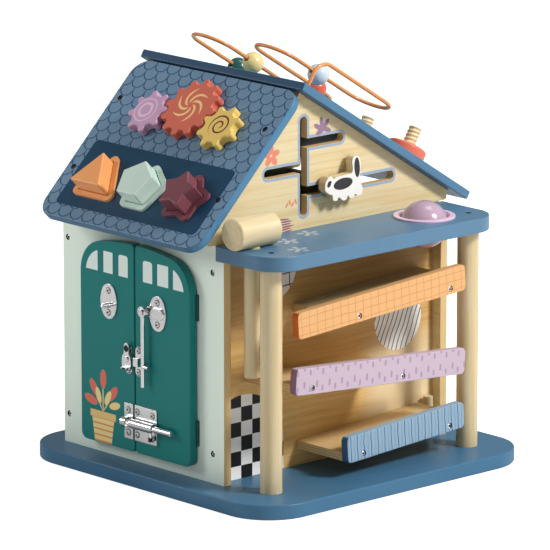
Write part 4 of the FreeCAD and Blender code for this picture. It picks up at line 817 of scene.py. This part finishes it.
def potted_plant(x, z):
    """Masks and colours of a plant in a pot, in the left leaf's lower corner."""
    middle, rim_half, rim_z = -80.5, 19.5, 57.5
    beside = abs(x - middle)
    pot = inside(beside - (13.0 + (z - 30.0) * 0.16)) * inside(abs(z - 42.0) - 13.0)
    rim = inside(beside - rim_half) * inside(abs(z - rim_z) - 3.6)
    stripe = inside(stripe_distance((z - 33.0) / 6.0, 6.0) - 0.8) * pot
    stems = either(*[inside(ellipse(x, z, (middle + dx / 2, 61 + dz / 2), (dz / 2 + 2, 0.8),
                                    90 - math.degrees(math.atan2(dx, dz))))
                     for dx, dz in ((-14, 22), (0, 30), (15, 20))])
    coral = either(*[inside(ellipse(x, z, centre, (10.0, 4.6), turn)) for centre, turn in (
        ((-94.0, 84.0), 125), ((-80.0, 95.0), 90), ((-65.5, 82.0), 50), ((-99.0, 71.0), 165))])
    yellow = either(*[inside(ellipse(x, z, centre, (8.5, 3.8), turn)) for centre, turn in (
        ((-87.5, 77.0), 110), ((-73.0, 76.5), 60), ((-62.5, 70.0), 15))])
    return [(stems, tint("#e9d08c")), (coral, tint("#d96f5c")), (yellow, tint("#edd592")),
            (pot, tint("#edd592")), (stripe, tint("#d98a5a")), (rim, tint("#e2c27c"))]


material, tree = new_material("door_paint")
x, y, z = place_in_mm(tree)
face = inside(facing(tree)[1] + 0.9, 0.05)
mottle, stipple = paint_film(x, y, z)
colour = mottled(mottle, tint("#00736f"), tint("#047a77"))
for mask, paint in [(panes(x, z), tint("#e0ebe6"))] + potted_plant(x, z):
    colour = mix(mask * face, colour, paint)
surface(tree, colour, mottle * 0.14 + 0.32, stipple, FILM)
finish_nodes(material, "left_door", "right_door")


# Hardware: pressed and turned steel with bright nickel plating, screwed on. The hinges are painted a deep
# green, darker than the doors, as painted shade along the doors' edge.
LEFT_SEATS = [(-69.5, 188.75), (-69.5, 166.25), (-39, 134.85), (-39, 112.55), (-39.65, 71.15),
              (-39.65, 47.65)]
RIGHT_SEATS = [(4.7, 188.75), (4.7, 166.25), (-24, 134.85), (-24, 112.55), (-26.4, 71.15),
               (-26.4, 47.65), (-3.4, 71.15), (-3.4, 47.65)]
SEAT_RADIUS = 3.5


def plated(name, colour, roughness, seats=(), painted_shade_above_walls=None):
    """Plated metal, with painted shade round the screws' seats. Above the walls the screws take a darker
    colour, as painted shade.
    """
    material, tree = new_material(name)
    x, y, z = place_in_mm(tree)
    if painted_shade_above_walls:
        colour = mix(inside(WALL_TOP - z, 1.0), colour, painted_shade_above_walls)
    if seats:
        distances = [length(x - seat_x, z - seat_z) for seat_x, seat_z in seats]
        nearest = functools.reduce(Signal.at_most, distances)
        # Painted shade: a dark ring round each screw seat.
        colour = mix(inside(nearest - SEAT_RADIUS, 0.5), colour, tint("#303234"))
    cloud = noise(x * 0.25, y * 0.25, z * 0.25, 3.0, 0.6)
    fine = noise(x * 2.0, y * 2.0, z * 2.0, 2.0)
    surface(tree, colour, cloud * 0.12 + roughness, fine * 0.2 + cloud, 0.07, 0.5, Metallic=1.0)
    return material


bright_plate = plated("bright_plate", tint("#e2e2e2"), 0.12, LEFT_SEATS + RIGHT_SEATS)
finish_nodes(bright_plate, "hook_eye_plate", "hook_plate", "hook_bar", "turn_latch_plate", "turn_latch_arm",
             "turn_latch_catch", "bolt_plate", "bolt_keeper", "bolt_rod", "bolt_knob")
# Above the walls the screws are painted dark grey, as painted shade.
screw_zinc = plated("screw_zinc", tint("#f6f6f4"), 0.4, painted_shade_above_walls=tint("#5c5f62"))
# The hinges are a darker green than the doors: painted shade along the doors' edge.
material, tree = new_material("hinge_shade_paint")
sprayed(tree, tint("#0b4a46"), 0.4)
finish_nodes(material, "hinge_wall_leaves", "hinge_pins", "left_hinge_leaves", "right_hinge_leaves")


# Screws: zinc-plated, with a domed head and a cross recess. The house's screws lie sunk in their holes,
# and the door hardware's heads stand on the plates.
HEAD_SEAT, PLATE_FACE = 3.0, -165.2
HOUSE_SCREW = {"head radius": 3.0, "head height": 2.3, "shank radius": 1.6, "shank length": 5.9}
DOOR_SCREW = {"head radius": 2.9, "head height": 1.3, "shank radius": 1.1, "shank length": 6.0}
RAMP_SCREW_RUNS = {"top": (82.7, 208.3), "middle": (22.6, 146.4), "bottom": (21.8, 141.5)}
RAMP_SCREW_RISE = 6


def add_input(tree, name, kind, value=None):
    socket = tree.interface.new_socket(name=name, in_out="INPUT", socket_type=kind)
    if value is not None:
        socket.default_value = value
    return socket


def screw_tree():
    """Geometry nodes that set a screw on each point, turned to the point's own direction."""
    tree = bpy.data.node_groups.new("screws", "GeometryNodeTree")
    tree.interface.new_socket(name="Geometry", in_out="OUTPUT", socket_type="NodeSocketGeometry")
    sockets = {"points": add_input(tree, "Points", "NodeSocketGeometry")}
    for name, value in HOUSE_SCREW.items():
        sockets[name] = add_input(tree, name, "NodeSocketFloat", value / 1000)
    sockets["metal"] = add_input(tree, "metal", "NodeSocketMaterial")
    entry = tree.nodes.new("NodeGroupInput")
    given = {name: Signal(tree, entry.outputs[place]) for place, name in enumerate(sockets)}

    def raised(geometry, height):
        place = add_node(tree, "ShaderNodeCombineXYZ", {}, [0.0, 0.0, height], "Vector")
        return add_node(tree, "GeometryNodeTransform", {}, {"Geometry": geometry, "Translation": place},
                        "Geometry")

    def cone(bottom, top, depth):
        return add_node(tree, "GeometryNodeMeshCone", {}, {
            "Vertices": 28, "Side Segments": 1, "Radius Top": top, "Radius Bottom": bottom,
            "Depth": depth}, "Mesh")

    def joined(*parts):
        whole = add_node(tree, "GeometryNodeJoinGeometry")
        for part in parts:
            tree.links.new(part.socket, whole.socket.node.inputs[0])
        return whole

    def point_value(name, kind):
        return add_node(tree, "GeometryNodeInputNamedAttribute", {"data_type": kind}, {"Name": name},
                        "Attribute")

    radius, height = given["head radius"], given["head height"]
    shoulder, rim_height = radius * 0.86, height * 0.75
    head = joined(cone(radius, shoulder, rim_height),
                  raised(cone(shoulder, radius * 0.55, height * 0.25), rim_height))
    head = add_node(tree, "GeometryNodeMergeByDistance", {}, {"Geometry": head, "Distance": 0.00002},
                    "Geometry")
    bars = []
    for turned in (False, True):
        long, wide = radius * 1.1, radius * 0.34
        size = [wide, long, height] if turned else [long, wide, height]
        size = add_node(tree, "ShaderNodeCombineXYZ", {}, size, "Vector")
        bar = add_node(tree, "GeometryNodeMeshCube", {}, {"Size": size}, "Mesh")
        bars.append(raised(bar, height * 0.8))
    carved = add_node(tree, "GeometryNodeMeshBoolean", {"operation": "DIFFERENCE"},
                      {"Mesh 1": head, "Mesh 2": joined(*bars)}, "Mesh")
    shank = add_node(tree, "GeometryNodeMeshCylinder", {}, {
        "Vertices": 16, "Side Segments": 1, "Radius": given["shank radius"],
        "Depth": given["shank length"]}, "Mesh")
    screw = joined(carved, raised(shank, given["shank length"] * -0.5 + 0.0001))
    turn = add_node(tree, "FunctionNodeAxisAngleToRotation", {},
                    {"Axis": (0, 0, 1), "Angle": point_value("spin", "FLOAT")}, "Rotation")
    turn = add_node(tree, "FunctionNodeAlignRotationToVector", {"axis": "Z"},
                    {"Rotation": turn, "Vector": point_value("facing", "FLOAT_VECTOR")}, "Rotation")
    placed = add_node(tree, "GeometryNodeInstanceOnPoints", {}, {
        "Points": given["points"], "Instance": screw, "Rotation": turn}, "Instances")
    solid = add_node(tree, "GeometryNodeRealizeInstances", {}, {"Geometry": placed}, "Geometry")
    dressed = add_node(tree, "GeometryNodeSetMaterial", {}, {"Geometry": solid, "Material": given["metal"]},
                       "Geometry")
    result = tree.nodes.new("NodeGroupOutput")
    tree.links.new(dressed.socket, result.inputs[0])
    return tree, sockets


screws_tree, screw_sockets = screw_tree()


def set_screws(name, node, body, places, sizes):
    """Screws at (place, direction) pairs, in mm; the place is under the head. Each has its own turn."""
    mesh = bpy.data.meshes.new(name + "_points")
    mesh.from_pydata([Vector(place) / 1000 for place, way in places], [], [])
    mesh.attributes.new("facing", "FLOAT_VECTOR", "POINT")
    mesh.attributes.new("spin", "FLOAT", "POINT")
    mesh.attributes["facing"].data.foreach_set("vector", [part for place, way in places for part in way])
    mesh.attributes["spin"].data.foreach_set("value", [0.35 + 1.9 * index for index in range(len(places))])
    holder = bpy.data.objects.new(name + "_points", mesh)
    scene.collection.objects.link(holder)
    modifier = holder.modifiers.new("screws", "NODES")
    modifier.node_group = screws_tree
    for key, value in sizes.items():
        modifier[screw_sockets[key].identifier] = value / 1000
    modifier[screw_sockets["metal"].identifier] = screw_zinc
    graph = bpy.context.evaluated_depsgraph_get()
    solid = bpy.data.meshes.new_from_object(holder.evaluated_get(graph))
    bpy.data.objects.remove(holder)
    piece = bpy.data.objects.new(name, solid)
    scene.collection.objects.link(piece)
    smooth(piece, 30)
    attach(piece, body)
    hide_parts(node)


front_way, rear_way, right_way, up_way = (0, -1, 0), (0, 1, 0), (1, 0, 0), (0, 0, 1)
house_places = []
for x in WALL_SCREW_X:
    for z in WALL_SCREW_Z:
        house_places.append(((x, -WALL_FACE + HEAD_SEAT, z), front_way))
        house_places.append(((x, WALL_FACE - HEAD_SEAT, z), rear_way))
front_out = Vector((0, -DIAGONAL, DIAGONAL))
rear_out = Vector((0, REAR_SIN, REAR_COS))
for x in ROOF_SCREW_X:
    for down in FRONT_SCREW_DOWN:
        along_slope = Vector((0, -DIAGONAL, -DIAGONAL)) * down
        spot = Vector((x, FRONT_TOP_Y, FRONT_TOP_Z)) + along_slope - front_out * HEAD_SEAT
        house_places.append((spot, front_out))
    for down in REAR_SCREW_DOWN:
        house_places.append((down_rear_roof(x, down, -HEAD_SEAT) * 1000, rear_out))
for y in BALCONY_SCREW_Y:
    house_places.append(((BALCONY_SCREW_X, y, BALCONY_TOP - HEAD_SEAT), up_way))
for ramp, (start, height, slope) in RAMPS.items():
    c, s = math.cos(math.radians(slope)), math.sin(math.radians(slope))
    for run in RAMP_SCREW_RUNS[ramp]:
        house_places.append(((FASCIA_FACE - HEAD_SEAT, start + run * c - RAMP_SCREW_RISE * s,
                              height + run * s + RAMP_SCREW_RISE * c), right_way))
set_screws("house_screw_set", "house_screws", "house", house_places, HOUSE_SCREW)
for side, seats in (("left", LEFT_SEATS), ("right", RIGHT_SEATS)):
    set_screws(side + "_door_screw_set", side + "_door_screws", side + "_door_body",
               [((x, PLATE_FACE, z), front_way) for x, z in seats], DOOR_SCREW)
